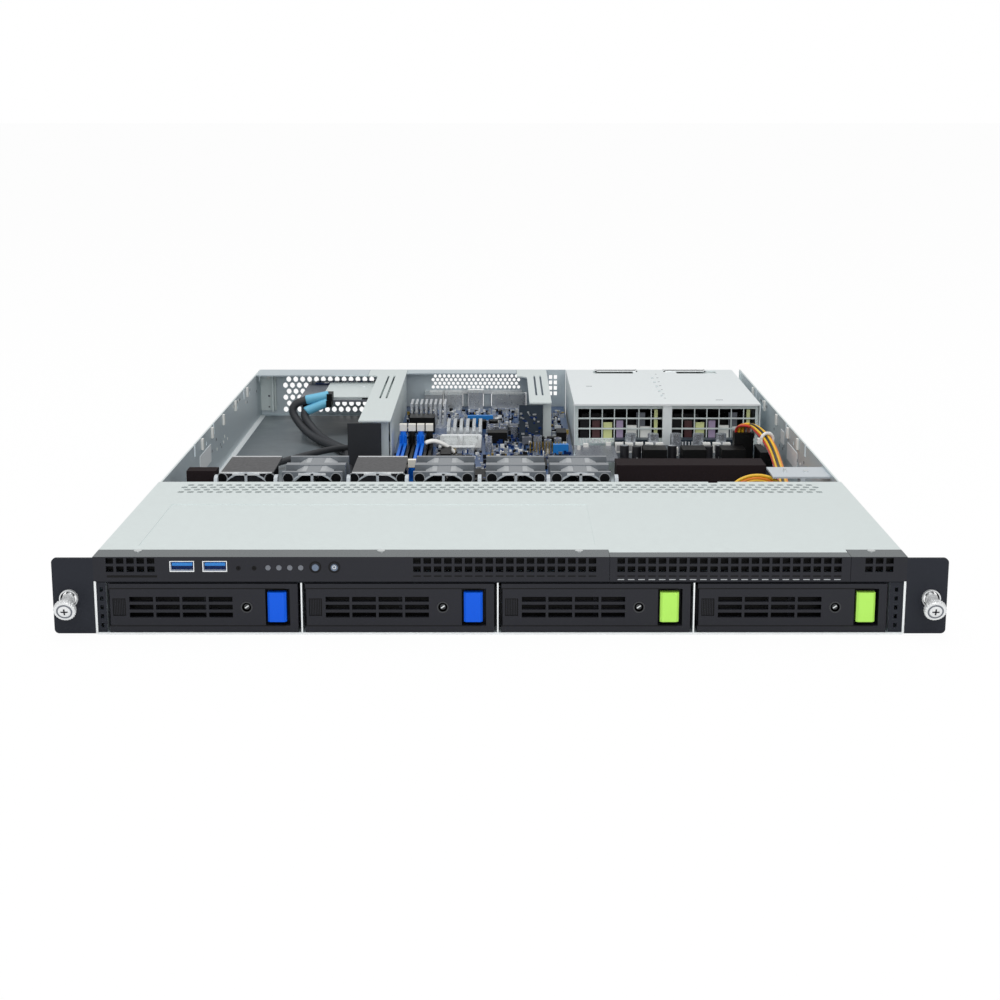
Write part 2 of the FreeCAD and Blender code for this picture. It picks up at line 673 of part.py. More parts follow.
def twisted_blade(root_x, tip_x, root, tip):
    """A blade between two four-cornered sections, with every twisted side split into two flat facets."""
    inner = [V(root_x, y, z) for y, z in root]
    outer = [V(tip_x, y, z) for y, z in tip]
    faces = [Part.Face(Part.makePolygon(inner + inner[:1])), Part.Face(Part.makePolygon(outer + outer[:1]))]
    for k in range(4):
        a, b, c, d = inner[k], inner[(k + 1) % 4], outer[(k + 1) % 4], outer[k]
        faces += [Part.Face(Part.makePolygon([a, b, c, a])), Part.Face(Part.makePolygon([a, c, d, a]))]
    solid = Part.makeSolid(Part.makeShell(faces))
    return solid if solid.Volume > 0 else solid.reversed()


def fan_rotor(x, side):
    """A hub with twisted blades and the shaft that runs in the motor mount; side -1 is the front one."""
    y_mid = fan_y + fan_len / 2
    start = mount_t / 2 + 0.6
    end = fan_len / 2 - 2.0
    hub = small_bar(0, start, 0, hub_r, end - start, 20)
    shaft = small_bar(0, 0.3, 0, shaft_r, start - 0.3)
    root = [(start + 1.4, -4.8), (start + 2.8, -5.4), (end - 1.4, 4.8), (end - 2.8, 5.4)]
    tip = [(start + 3.2, -6.0), (start + 4.0, -6.5), (end - 3.2, 6.0), (end - 4.0, 6.5)]
    tip_x = math.sqrt(blade_tip ** 2 - 6.5 ** 2)
    blades = []
    for k in range(blade_count):
        blade = twisted_blade(hub_r - 1.6, tip_x, root, tip)
        blade.rotate(V(0, 0, 0), V(0, 1, 0), 360.0 / blade_count * k + 18)
        blades.append(blade)
    rotor = joined(hub, shaft, *blades)
    if side < 0:
        rotor = rotor.mirror(V(0, 0, 0), V(0, 1, 0))
    return moved(rotor, x, y_mid, fan_z)


def fan_blank(x):
    """A sheet filler in an empty fan bay: a front wall, a top and two short feet."""
    front = box(x - 14.5, x + 14.5, fan_y + 2, fan_y + 3.2, fan_floor, fan_floor + fan_size - 0.7)
    top = box(x - 17.4, x + 17.4, fan_y + 2, fan_end - 1, fan_floor + fan_size - 1.9,
              fan_floor + fan_size - 0.7)
    rear = box(x - 14.5, x + 14.5, fan_end - 2.2, fan_end - 1, fan_floor, fan_floor + fan_size - 0.7)
    return joined(front, top, rear)


def foam_baffles():
    """Soft blocks that close the gaps beside the row of fans."""
    top = fan_floor + fan_size - 0.7
    left = box(8.8 - wall_x, post_xs[0] - post_t / 2 - slack, fan_y + 7, fan_y + 20, sheet, top)
    right = box(post_xs[-1] + post_t / 2 + 0.8, wall_x - 37.8, fan_y + 26, fan_y + 50, sheet, top)
    return [left, right]


# ---------------------------------------------------------------- board area
insulator_t = 0.5


def floor_insulator():
    """A dark film on the floor of the left bay."""
    outline = rect_z(-wall_x + 2.8, board_x1 - 4, board_y1, rear_y - 10, sheet)
    return pierced(outline, [], (0, 0, insulator_t))


def motherboard():
    """A half-width board on brass standoffs."""
    spots = [(x, y) for x in (board_x1 + 6, board_x2 - 6)
             for y in (board_y1 + 8, cage_y1 - 10, board_y2 - 8)]
    board = box(board_x1, board_x2, board_y1, board_y2, board_z, board_top)
    return [board] + [small_post(x, y, sheet, 3.0, board_z - sheet, 6) for x, y in spots]


dimm_xs = [board_x1 + x for x in (9.3, 16.3, 23.1, 30.0)]
dimm_y1 = board_y1 + 28.0
dimm_y2 = dimm_y1 + 142.0


def dimm_sockets():
    """Four memory sockets with their slots and end latches."""
    solids = []
    for x in dimm_xs:
        body = box(x - 2.9, x + 2.9, dimm_y1, dimm_y2, board_top, board_top + 8)
        body = body.cut(box(x - 0.8, x + 0.8, dimm_y1 + 6, dimm_y2 - 6, board_top + 2, board_top + 9))
        solids.append(body)
        for y, lean in ((dimm_y1, -1), (dimm_y2, 1)):
            outline = [(x - 2.2, y - lean * 5, board_top + 8), (x - 2.2, y - lean * 0.5, board_top + 8),
                       (x - 2.2, y + lean * 5, board_top + 23), (x - 2.2, y - lean * 1, board_top + 23)]
            solids.append(prism(outline, (4.4, 0, 0)))
    return solids


def cpu_socket():
    """A steel load frame with two windows around the processor's socket."""
    x, y = board_x1 + 54.0, board_y1 + 195.0
    frame = box(x - 17, x + 17, y - 28, y + 28, board_top, board_top + 4.0)
    for side in (-1, 1):
        frame = frame.cut(box(x + side * 8 - 6, x + side * 8 + 6, y - 22, y + 22, board_top + 1.2,
                              board_top + 5))
    return [frame]


def fin_stack(x1, x2, y1, y2, z1, z2, count, base):
    """An extruded heatsink: a base and upright fins along Y."""
    block = box(x1, x2, y1, y2, z1, z1 + base)
    step = (x2 - x1) / (2 * count - 1)
    fins = [box(x1 + 2 * k * step, x1 + (2 * k + 1) * step, y1, y2, z1 + base, z2) for k in range(count)]
    return joined(block, *fins)


def heatsinks():
    return [fin_stack(board_x1 + x1, board_x1 + x2, board_y1 + y1, board_y1 + y2, board_top, z2, count, 3.0)
            for x1, x2, y1, y2, z2, count in ((10, 40, 275, 302, 30, 8), (42, 71, 228, 262, 20, 6))]


def rear_io_ports():
    """The sockets on the board's rear edge: two network jacks, two USB ports and a video port."""
    solids = []
    back = chassis_d + 0.5
    for x in lan_x:
        jack = box(x - lan_w / 2, x + lan_w / 2, back - 22.5, back, port_z, port_z + lan_h)
        hollow = box(x - 6, x + 6, back - 14.5, back + 1, port_z + 2.6, port_z + 10.6)
        solids.append(jack.cut(hollow))
    for level in (0, 1):
        z = port_z + level * 7.6
        shell = box(usb_rear_x - 6.6, usb_rear_x + 6.6, back - 16.5, back, z, z + 7.0)
        shell = shell.cut(box(usb_rear_x - 6.1, usb_rear_x + 6.1, back - 13.5, back + 1, z + 0.7, z + 6.3))
        tongue = box(usb_rear_x - 5.5, usb_rear_x + 5.5, back - 13.5, back - 2, z + 3.6, z + 5.2)
        solids.append(joined(shell, tongue))
    solids.append(box(usb_rear_x - 6.6, usb_rear_x + 6.6, back - 16.5, back - 0.5, port_z + 7.0,
                      port_z + 7.6))
    solids.append(box(vga_x - 15.5, vga_x + 15.5, rear_y - 10.8, rear_y - 0.1, port_z, port_z + 12.4))
    solids.append(box(vga_x - 8.4, vga_x + 8.4, rear_y - 0.1, back + 3.5, port_z + 2, port_z + 10))
    return solids


def board_components():
    """Coils, capacitors, chips and headers on the mainboard, each placed from its front left corner."""
    solids = []
    x, y, z = board_x1, board_y1, board_top
    for k in range(4):
        solids.append(small_post(x + 52 + 9.5 * k, y + 273, z, 3.6, 7.0, 16))
        solids.append(box(x + 48 + 9.5 * k, x + 55 + 9.5 * k, y + 284, y + 291, z, z + 5))
    solids += [small_post(board_x2 - 28, y + 232 + 11 * k, z, 3.2, 9.0) for k in range(3)]
    solids.append(box(x + 10, x + 31, y + 252, y + 273, z, z + 13))
    solids.append(box(x + 76, x + 92, y + 205, y + 218, z, z + 9))
    solids.append(box(x + 87, x + 105, y + 262, y + 282, z, z + 2.4))
    solids.append(box(x + 56, x + 112, y + 20, y + 26, z, z + 9))
    solids.append(box(board_x2 - 12, board_x2 - 4, y + 30, y + 82, z, z + 10))
    solids.append(box(x + 46, x + 80, y + 60, y + 94, z, z + 2.0))
    solids.append(box(x + 90, x + 122, y + 100, y + 132, z, z + 3.0))
    solids.append(box(x + 40, x + 48, y + 120, y + 152, z, z + 8))
    solids += [box(x + 1, x + 9, lead_y - 3.5, lead_y + 3.5, z, z + 7) for lead_y in lead_headers]
    return solids


def riser_bracket(x1, x2, y1, wall_side, reach):
    """A flat bracket level with the lid, a concave corner at the rear, two slots and an upright wall."""
    z1 = strip_z
    y2 = rear_y - 0.2
    arc_y = strip_y - corner_r if wall_side > 0 else strip_y - 16
    start = V(x1, arc_y, z1)
    middle = V(x1 - corner_r * (1 - math.cos(math.pi / 4)), arc_y + corner_r * math.sin(math.pi / 4), z1)
    end = V(x1 - corner_r, arc_y + corner_r, z1)
    edges = [Part.LineSegment(V(x2, y1, z1), V(x1, y1, z1)), Part.LineSegment(V(x1, y1, z1), start),
             Part.Arc(start, middle, end), Part.LineSegment(end, V(x1 - corner_r, y2, z1)),
             Part.LineSegment(V(x1 - corner_r, y2, z1), V(x2, y2, z1)),
             Part.LineSegment(V(x2, y2, z1), V(x2, y1, z1))]
    outline = Part.Wire([e.toShape() for e in edges])
    middle_x = (x1 + x2) / 2
    slots = [rect_z(middle_x + dx - 0.8, middle_x + dx + 0.8, y1 + reach, strip_y - 4, z1)
             for dx in (-2.6, 2.6)]
    plate = pierced(outline, slots, (0, 0, sheet))
    wall = box(x2 - sheet, x2, y1 + 12, y2 - 22, board_top, z1)
    on_board = x1 > board_x1
    foot = box(x1 + 2, x2 if on_board else board_x1 - slack, y1 + 12, y1 + 12 + sheet,
               board_top if on_board else sheet + insulator_t, z1)
    return joined(plate, wall, foot)


card_len = 104.0
card_y1 = board_y2 - 2.0 - card_len
card_z = strip_z - 8.7
card_t = 1.6


def adapter_card():
    """A card carried on the left riser bracket: a cover plate, the board, its rear pads and a plug."""
    x2 = left_bracket_x[1] - sheet
    board = box(x2 - 86.8, x2, card_y1, card_y1 + card_len, card_z - card_t, card_z)
    plate = box(x2 - 60.8, x2 - 32.8, card_y1 + 4, card_y1 + 82, card_z, card_z + 1.4)
    plug = box(x2 - 81.8, x2 - 62.8, card_y1 - 12, card_y1, card_z - 3.6, card_z + 3.6)
    pads = [box(x2 - 82.8 + 12 * k, x2 - 74.8 + 12 * k, card_y1 + 88, card_y1 + 98, card_z, card_z + 0.6)
            for k in range(4)]
    floor = sheet + insulator_t
    posts = [small_post(x, card_y1 + 8, floor, 2.6, card_z - card_t - floor, 6)
             for x in (x2 - 82.8, x2 - 10.8)]
    return [board, plate, plug] + pads + posts


cable_r = 2.6
lead_headers = (board_y1 + 6.5, board_y1 + 16.5)   # where the two leads plug into the mainboard, along Y


def signal_cables():
    """Two sleeved leads from the card's plug, down to the floor and forward to the mainboard's edge."""
    low = sheet + insulator_t + cable_r + 0.2
    start = card_y1 - 12.7

    def lead(header_y, places):
        """Shares are of the way back from the header to the card; x is measured from the mainboard's edge."""
        route = [(board_x1 + x, header_y + share * (start - header_y), z) for x, share, z in places]
        return tube(route + [(board_x1 + 0.3, header_y, board_top + 3.5)], cable_r, 6)

    return [lead(lead_headers[0], [(-75, 1, card_z), (-78, 0.85, 27), (-66, 0.67, 6.5), (-35, 0.42, low),
                                   (-34, 0.13, low), (-24, 0.01, low + 4)]),
            lead(lead_headers[1], [(-67.5, 1, card_z), (-68, 0.86, 27), (-54, 0.68, 6.5), (-26, 0.44, low),
                                   (-27, 0.13, low), (-19, 0.01, low + 4)])]


# ---------------------------------------------------------------- power
def psu_cage():
    """Sheet walls and a top plate around the two power supplies, with a slotted stop between them."""
    z1 = strip_z
    x2 = cage_x2
    x = psu_xs[0] + psu_w / 2 - 1.2
    slots = [rect_z(x, x + 2.2, cage_y1 + y, cage_y1 + y + 9, z1) for y in range(40, 160, 24)]
    windows = [rect_z(x - 14, x + 22, chassis_d - 24, chassis_d - 6, z1) for x in psu_xs]
    plate = pierced(rect_z(cage_x1, x2, cage_y1, rear_y, z1), slots + windows, (0, 0, sheet))
    walls = [box(x, x + cage_sheet, cage_y1, chassis_d - 0.2, sheet, z1)
             for x in (cage_x1, psu_xs[0] + psu_w / 2 + psu_gap, cage_x2 - cage_sheet)]
    gap_x = psu_xs[0] + psu_w / 2 + psu_gap + cage_sheet / 2
    stop = box(gap_x - 3.8, gap_x + 3.8, cage_y1, cage_y1 + 1.2, sheet, z1)
    tabs = [box(cage_x1 - 6, cage_x1, y, y + 10, sheet, sheet + 1.0) for y in (cage_y1 + 20, cage_y1 + 100)]
    return joined(plate, stop, *walls, *tabs)


def psu(x):
    """One power supply: case with grille and handle, inlet, card edge, transformers and capacitors."""
    x1, x2 = x - psu_w / 2, x + psu_w / 2
    y1, y2 = psu_y, psu_y + psu_len
    z1, z2 = psu_z, psu_z + psu_h
    t = psu_sheet
    case = box(x1, x2, y1, y2, z1, z2).cut(box(x1 + t, x2 - t, y1 - 1, y2 - t, z1 + t, z2 - t))
    wide, high = (psu_w - 2 * t - 2.4) / 7, (z2 - t - 1.2 - card_edge_z - 2.6) / 3
    bars = [rect_y(x1 + t + 1.6 + wide * i, x1 + t + 0.8 + wide * (i + 1), card_edge_z + 2.8 + high * j,
                   card_edge_z + 1.6 + high * (j + 1), y1) for i in range(7) for j in range(3)]
    bars.append(rect_y(x - 25.3, x + 25.3, card_edge_z - slack, card_edge_z + 1.6 + slack, y1))
    grille = pierced(rect_y(x1 + t, x2 - t, z1 + t, z2 - t, y1), bars, (0, 1.0, 0))
    inlet_x, inlet_z = x1 + 20, z1 + 20
    fan_x = x2 - 21.5
    vents = [hexagon(fan_x + 9.4 * (i + (0.5 if j % 2 else 0)), z1 + 20 + 8.2 * j, y2 - 2, 4.2)
             for j in (-1, 0, 1) for i in (-1, 0, 1)][:8]
    cuts = [Part.Face(v).extrude(V(0, 4, 0)) for v in vents]
    cuts.append(box(inlet_x - 14, inlet_x + 14, y2 - 3, y2 + 1, inlet_z - 10, inlet_z + 10))
    case = joined(case.cut(Part.makeCompound(cuts)), grille)
    socket = box(inlet_x - 14, inlet_x + 14, y2 - 20, y2, inlet_z - 10, inlet_z + 10)
    socket = socket.cut(box(inlet_x - 12.2, inlet_x + 12.2, y2 - 17, y2 + 1, inlet_z - 8.2, inlet_z + 8.2))
    pins = [box(inlet_x + dx - 1, inlet_x + dx + 1, y2 - 17, y2 - 7, inlet_z + dz - 2, inlet_z + dz + 2)
            for dx, dz in ((-7, -1), (0, 2.5), (7, -1))]
    socket = joined(socket, *pins)
    board = box(x1 + t + 1, x2 - t - 1, y1 + 3, y2 - 24, z1 + t, z1 + t + 1.6)
    card = box(x - 25, x + 25, y1 - 9, y1 + 3, card_edge_z, card_edge_z + 1.6)
    floor = z1 + t + 1.6
    parts = [box(x1 + 6, x1 + 26, y1 + 12, y1 + 36, floor, floor + 28),
             box(x1 + 30, x1 + 50, y1 + 14, y1 + 36, floor, floor + 24),
             box(x1 + 6, x2 - 6, y1 + 60, y2 - 35, floor, floor + 30)]
    parts += [small_post(x2 - 10, y1 + 14 + 12 * k, floor, 4.8, 26) for k in range(2)]
    handle_y = y2 + 22.0
    grip = [box(x2 - a, x2 - b, y, handle_y, z2 - 8, z2 - 2)
            for a, b, y in ((35.5, 31.5, y2), (11.5, 7.5, y2), (35.5, 7.5, handle_y - 4))]
    return [case, socket, board, card, joined(*grip)] + parts


card_edge_z = 11.0


def psu_latch(x):
    """The release tab beside the handle; it is pressed towards the handle to free the supply."""
    x2 = x + psu_w / 2
    y2 = psu_y + psu_len
    tab = box(x2 - 5.6, x2 - 3.6, y2 + 0.15, y2 + 14, psu_z + 24, psu_z + 34)
    thumb = box(x2 - 5.6, x2 - 0.8, y2 + 12, y2 + 14, psu_z + 24, psu_z + 34)
    return joined(tab, thumb)


power_y1 = fan_end + 83.0
power_y2 = cage_y1 - 2.0
power_len = power_y2 - power_y1
loom_y = power_y1 + power_len * 0.53            # front of the tall header that the loom plugs into
power_x1 = cage_x1 + 32.0


def power_board():
    """The board that joins the supplies to the system: edge sockets, capacitors and headers on standoffs."""
    x1, x2 = power_x1, cage_x2 - 1.8
    z = board_top
    wide = (x2 - x1) / 117
    solids = [box(x1, x2, power_y1, power_y2, board_z, z)]
    solids += [small_post(x, y, sheet, 3.0, board_z - sheet, 6) for x in (x1 + 6, x2 - 6)
               for y in (power_y1 + 6, power_y2 - 22)]
    for x in psu_xs:
        left = max(x - 27, x1 + 0.5)
        socket = box(left, x + 27, power_y2 - 10, power_y2 - 0.1, z, z + 6.4)
        gap = 0.15
        socket = socket.cut(box(x - 25 - gap, x + 25 + gap, psu_y - 9 - gap, power_y2 + 1,
                                card_edge_z - gap, card_edge_z + 1.6 + gap))
        solids.append(socket)
    solids += [small_post(x1 + wide * (12 + 18 * k), power_y2 - 24, z, 4.4, 14.0) for k in range(6)]
    solids += [box(x1 + wide * (12 + 24 * k), x1 + wide * (28 + 24 * k), power_y1 + 6, power_y1 + 16, z,
                   z + 11)
               for k in range(4)]
    solids.append(box(x2 - 12, x2 - 2.5, power_y1 + power_len * 0.24, power_y1 + power_len * 0.5, z, z + 13))
    solids.append(box(x2 - 27, x2 - 12.2, loom_y, loom_y + 12, z, z + 21))
    solids += [box(x1 + wide * (18 + 30 * k), x1 + wide * (36 + 30 * k), power_y1 + power_len * 0.36,
                   power_y1 + power_len * 0.51, z, z + 12) for k in range(3)]
    return solids


loom_r = 4.6


def wire_harness():
    """The bundled supply leads, from the tall header along the right wall past the foam to the backplane."""
    y1 = backplane_y + board_t + header_deep + 0.2
    y2 = loom_y - 1.0
    places = [(23, 0.86, 31), (19.3, 0.72, 29), (19.3, 0.5, 21), (20.5, 0.36, 20), (25.5, 0.2, 18),
              (37.8, 0.07, 10),
              (37.8, 0, 9.5)]
    route = [(cage_x2 - 21.4, y2, board_top + 17)]
    route += [(wall_x - inwards, y1 + share * (y2 - y1), z) for inwards, share, z in places]
    return tube(route, loom_r, 8)


# ---------------------------------------------------------------- the assembly
add("chassis_base", chassis_base())
add("rear_panel", rear_panel())
add("rack_ears", ear(), mirrored(ear()))
add("ear_ferrules", ear_ferrule(), mirrored(ear_ferrule()))
add("left_screw", captive_screw())
add("right_screw", mirrored(captive_screw()))
add("control_bezel", control_bezel())
add("filler_bezel", filler_bezel())
add("end_bezel", end_bezel())
add("bezel_screws", *bezel_screws())
add("front_cover", front_cover())
add("front_panel_board", *front_panel_board())
add("id_button", push_button(button_xs[0]))
add("power_button", push_button(button_xs[1]))
add("nmi_button", pin_button(pin_xs[0]))
add("reset_button", pin_button(pin_xs[1]))
add("drive_cage", *drive_cage())
add("backplane", *backplane())
for number, tray_x in enumerate(tray_xs, 1):
    add(f"tray_{number}", *tray(tray_x))
    add(f"tray_lever_{number}", tray_lever(tray_x))
    add(f"tray_latch_{number}", tray_latch(tray_x))
add("fan_bracket", *fan_bracket())
add("fan_housings", *[fan_housing(x) for x in fan_xs])
for number, fan_x in enumerate(fan_xs, 1):
    add(f"fan_{number}_front_rotor", fan_rotor(fan_x, -1))
    add(f"fan_{number}_rear_rotor", fan_rotor(fan_x, 1))
add("fan_blanks", *[fan_blank(x) for x in blank_xs])
add("foam_baffles", *foam_baffles())
add("floor_insulator", floor_insulator())
add("motherboard", *motherboard())
add("cpu_socket", *cpu_socket())
add("dimm_sockets", *dimm_sockets())
add("heatsinks", *heatsinks())
add("rear_io_ports", *rear_io_ports())
add("board_components", *board_components())
add("left_riser_bracket", riser_bracket(*left_bracket_x, left_bracket_y, 1, 106))
add("right_riser_bracket", riser_bracket(*right_bracket_x, right_bracket_y, -1, 37))
add("adapter_card", *adapter_card())
add("signal_cables", *signal_cables())
add("wire_harness", wire_harness())
add("psu_cage", psu_cage())
add("power_board", *power_board())
for number, psu_x in enumerate(psu_xs, 1):
    add(f"psu_{number}", *psu(psu_x))
    add(f"psu_latch_{number}", psu_latch(psu_x))

whole = Part.makeCompound([solid for solids in NODES.values() for solid in solids]).optimalBoundingBox(False)
ORIGIN = V((whole.XMin + whole.XMax) / 2, (whole.YMin + whole.YMax) / 2, whole.ZMin)

if __name__ == "__main__":
    os.makedirs("parts", exist_ok=True)
    for name, solids in NODES.items():
        shape = Part.makeCompound(solids) if len(solids) > 1 else solids[0]
        shape.translate(ORIGIN * -1)
        shape.exportStep(f"parts/{name}.step")
        print(name, len(shape.Solids), "valid" if shape.isValid() else "INVALID")
    print("origin", ORIGIN, "size", whole.XLength, whole.YLength, whole.ZLength, "nodes", len(NODES))
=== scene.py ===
"""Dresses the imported 1U rack server: finishes for every piece, fine sheet work, wiring, boards and the stage."""
import math

import bpy
import numpy as np
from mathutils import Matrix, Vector


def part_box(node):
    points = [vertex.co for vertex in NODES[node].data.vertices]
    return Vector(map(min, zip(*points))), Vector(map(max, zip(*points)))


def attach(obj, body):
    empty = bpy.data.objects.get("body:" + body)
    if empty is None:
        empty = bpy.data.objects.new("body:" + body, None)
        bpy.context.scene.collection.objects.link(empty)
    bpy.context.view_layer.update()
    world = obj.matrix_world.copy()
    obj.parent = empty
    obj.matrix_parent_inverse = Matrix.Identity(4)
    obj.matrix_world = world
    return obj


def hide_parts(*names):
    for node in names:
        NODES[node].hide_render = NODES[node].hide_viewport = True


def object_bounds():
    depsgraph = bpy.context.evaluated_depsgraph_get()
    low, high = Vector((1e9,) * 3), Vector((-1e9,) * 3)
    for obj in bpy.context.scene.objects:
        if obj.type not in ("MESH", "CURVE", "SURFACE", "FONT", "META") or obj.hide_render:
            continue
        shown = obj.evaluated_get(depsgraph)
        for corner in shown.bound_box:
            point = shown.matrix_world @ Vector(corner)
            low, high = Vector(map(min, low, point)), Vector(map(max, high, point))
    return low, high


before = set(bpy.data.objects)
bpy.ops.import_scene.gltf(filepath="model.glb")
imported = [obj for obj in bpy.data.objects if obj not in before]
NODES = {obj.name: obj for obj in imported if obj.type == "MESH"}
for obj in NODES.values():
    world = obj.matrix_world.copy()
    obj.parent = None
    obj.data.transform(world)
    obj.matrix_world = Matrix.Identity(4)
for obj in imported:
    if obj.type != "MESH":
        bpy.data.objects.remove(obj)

bl_info = {
    "name": "Rack Server Dressing",
    "version": (1, 0, 0),
    "blender": (4, 5, 0),
    "location": "3D View > Sidebar > Server",
    "description": "Adds finishes, fine sheet work, wiring and board detail to a packed 1U rack server",
    "category": "Object",
}

CAD_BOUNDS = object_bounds()
FRONT_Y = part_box("rack_ears")[0].y * 1000
ORIGIN = np.array((0.0, FRONT_Y, 0.0))  # middle of the ears' front plane, from which the pieces are measured in mm
FAN_COUNT = 4
TRAY_COUNT = 4
SHEET = 1.2                      # thickness of the chassis's steel
BOARD_TOP = 9.2                  # of the mainboard and the power board
MADE = {}                        # the finishes by name


# ---- measures and meshes
def extent(name):
    """Lowest and highest corner of a CAD node in millimetres from the ears' front plane."""
    return tuple(np.array(corner) * 1000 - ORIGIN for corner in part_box(name))


def middle(name):
    """The middle of a CAD node's box."""
    return sum(extent(name)) / 2


def link(name, data):
    """A new object in the scene."""
    thing = bpy.data.objects.new(name, data)
    bpy.context.scene.collection.objects.link(thing)
    return thing


def merge(*parts):
    """Several (points, faces) pairs as one; a face's numbers move up by the points before it."""
    points, faces, shift = [], [], 0
    for part_points, part_faces in parts:
        part_points = np.asarray(part_points, float).reshape(-1, 3)
        points.append(part_points)
        faces += [tuple(int(i) + shift for i in face) for face in part_faces]
        shift += len(part_points)
    return np.concatenate(points), faces


def dress(name, material, *shapes, body="chassis", slot="component_mix", smooth=False):
    """Shapes in one finish as one mesh in place, riding on a body."""
    points, faces = merge(*shapes)
    mesh = bpy.data.meshes.new(name)
    mesh.from_pydata((points + ORIGIN) / 1000, [], faces)
    mesh.materials.append(MADE[material])
    mesh.update()
    if smooth:
        mesh.shade_smooth()
    thing = link(name, mesh)
    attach(thing, body)
    return thing


BOX_FACES = np.array([(0, 2, 3, 1), (4, 5, 7, 6), (0, 1, 5, 4), (2, 6, 7, 3), (0, 4, 6, 2), (1, 3, 7, 5)])


def blocks(corners):
    """Boxes from rows of (x1, y1, z1, x2, y2, z2): corner k of a box takes high x, y or z by k's three bits."""
    corners = np.asarray(corners, float).reshape(-1, 2, 3)
    bits = (np.arange(8)[:, None] >> np.array((0, 1, 2))) & 1
    points = corners[:, 0, None, :] * (1 - bits) + corners[:, 1, None, :] * bits
    faces = BOX_FACES[None] + 8 * np.arange(len(corners))[:, None, None]
    return points.reshape(-1, 3), faces.reshape(-1, 4)


def standing(rows, z=BOARD_TOP):
    """Boxes that stand at one height from rows of (x1, y1, x2, y2, tall)."""
    return blocks([(x1, y1, z, x2, y2, z + tall) for x1, y1, x2, y2, tall in rows])


def around(sides):
    """The angles of a ring's points."""
    return 2 * math.pi * np.arange(sides) / sides


def tube_faces(count, sides):
    """Quads between rings of points that follow each other, and a cap on the first and the last ring."""
    faces = [(r * sides + i, r * sides + (i + 1) % sides, (r + 1) * sides + (i + 1) % sides, (r + 1) * sides + i)
             for r in range(count - 1) for i in range(sides)]
    ring = tuple(range(sides))
    return faces + [ring[::-1], tuple((count - 1) * sides + i for i in ring)]


def studs(rows, sides=16, axis=2):
    """Round bars from rows of (x, y, z, radius, length) along one axis: a ring swept from z to z + length."""
    rows = np.asarray(rows, float).reshape(-1, 5)
    turn = -around(sides) if axis == 1 else around(sides)
    a, b = [k for k in range(3) if k != axis]
    points = np.zeros((len(rows), 2, sides, 3))
    points[..., a] = rows[:, a, None, None] + rows[:, 3, None, None] * np.cos(turn)
    points[..., b] = rows[:, b, None, None] + rows[:, 3, None, None] * np.sin(turn)
    points[..., axis] = rows[:, axis, None, None] + rows[:, 4, None, None] * np.array((0, 1))[None, :, None]
    faces = tube_faces(2, sides)
    return points.reshape(-1, 3), [[2 * sides * n + i for i in face] for n in range(len(rows)) for face in faces]


def rings(rows, sides=32):
    """Flat rings facing the front from rows of (x, y, z, inner, outer, deep): a rectangle between the two radii and
    deep along Y is turned about the Y axis through x and z."""
    turn = around(sides)
    here = np.arange(sides)
    there = (here + 1) % sides
    shapes = []
    for x, y, z, inner, outer, deep in rows:
        corners = ((y, inner), (y, outer), (y + deep, outer), (y + deep, inner))
        points = np.concatenate([np.stack([x + r * np.cos(turn), np.full(sides, a), z + r * np.sin(turn)], 1)
                                 for a, r in corners])
        faces = [np.stack([(c + 1) % 4 * sides + here, (c + 1) % 4 * sides + there, c * sides + there,
                           c * sides + here], 1) for c in range(4)]
        shapes.append((points, np.concatenate(faces)))
    return merge(*shapes)


def saddles(rows):
    """Blocks with a narrower top from rows of (x1, y1, z1, x2, y2, z2, inset): the upper corners move in by inset."""
    rows = np.asarray(rows, float)
    points, faces = blocks(rows[:, :6])
    points = points.reshape(-1, 8, 3)
    points[:, (4, 6), 0] += rows[:, 6, None]
    points[:, (5, 7), 0] -= rows[:, 6, None]
    return points.reshape(-1, 3), faces


def spline(route, per_span=8):
    """A uniform cubic B-spline through a clamped route: each span blends four control points."""
    route = np.asarray(route, float)
    route = np.concatenate([route[:1], route[:1], route, route[-1:], route[-1:]])
    t = np.linspace(0, 1, per_span, endpoint=False)[:, None]
    weights = ((1 - t) ** 3 / 6, (3 * t ** 3 - 6 * t ** 2 + 4) / 6, (-3 * t ** 3 + 3 * t ** 2 + 3 * t + 1) / 6,
               t ** 3 / 6)
    spans = [sum(w * route[k + n] for n, w in enumerate(weights)) for k in range(len(route) - 3)]
    return np.concatenate(spans + [route[-1:]])


def hose(path, radius, sides=12):
    """A round profile carried along a path: each ring lies square to the path's direction there."""
    path = np.asarray(path, float)
    radius = np.broadcast_to(np.asarray(radius, float), len(path))
    ahead = np.gradient(path, axis=0)
    ahead /= np.linalg.norm(ahead, axis=1, keepdims=True)
    side = np.cross(ahead, (0, 0, 1.0))
    weak = np.linalg.norm(side, axis=1) < 0.05
    side[weak] = np.cross(ahead[weak], (0, 1.0, 0))
    side /= np.linalg.norm(side, axis=1, keepdims=True)
    up = np.cross(side, ahead)
    turn = around(sides)
    ring = side[:, None] * np.cos(turn)[None, :, None] + up[:, None] * np.sin(turn)[None, :, None]
    points = path[:, None] + ring * radius[:, None, None]
    return points.reshape(-1, 3), tube_faces(len(path), sides)


# ---- finishes
def linear(code):
    """An sRGB hex colour as linear red, green, blue, 1."""
    values = [int(code[i:i + 2], 16) / 255 for i in (1, 3, 5)]
    return tuple(v / 12.92 if v <= 0.04045 else ((v + 0.055) / 1.055) ** 2.4 for v in values) + (1.0,)


def add(tree, kind, links=(), **settings):
    """Adds a shader node; settings name its properties or input sockets, links are (socket, output) pairs."""
    made = tree.nodes.new(kind)
    for name, value in settings.items():
        if hasattr(made, name):
            setattr(made, name, value)
        else:
            made.inputs[name.replace("_", " ")].default_value = value
    for socket, source in links:
        tree.links.new(source, made.inputs[socket])
    return made


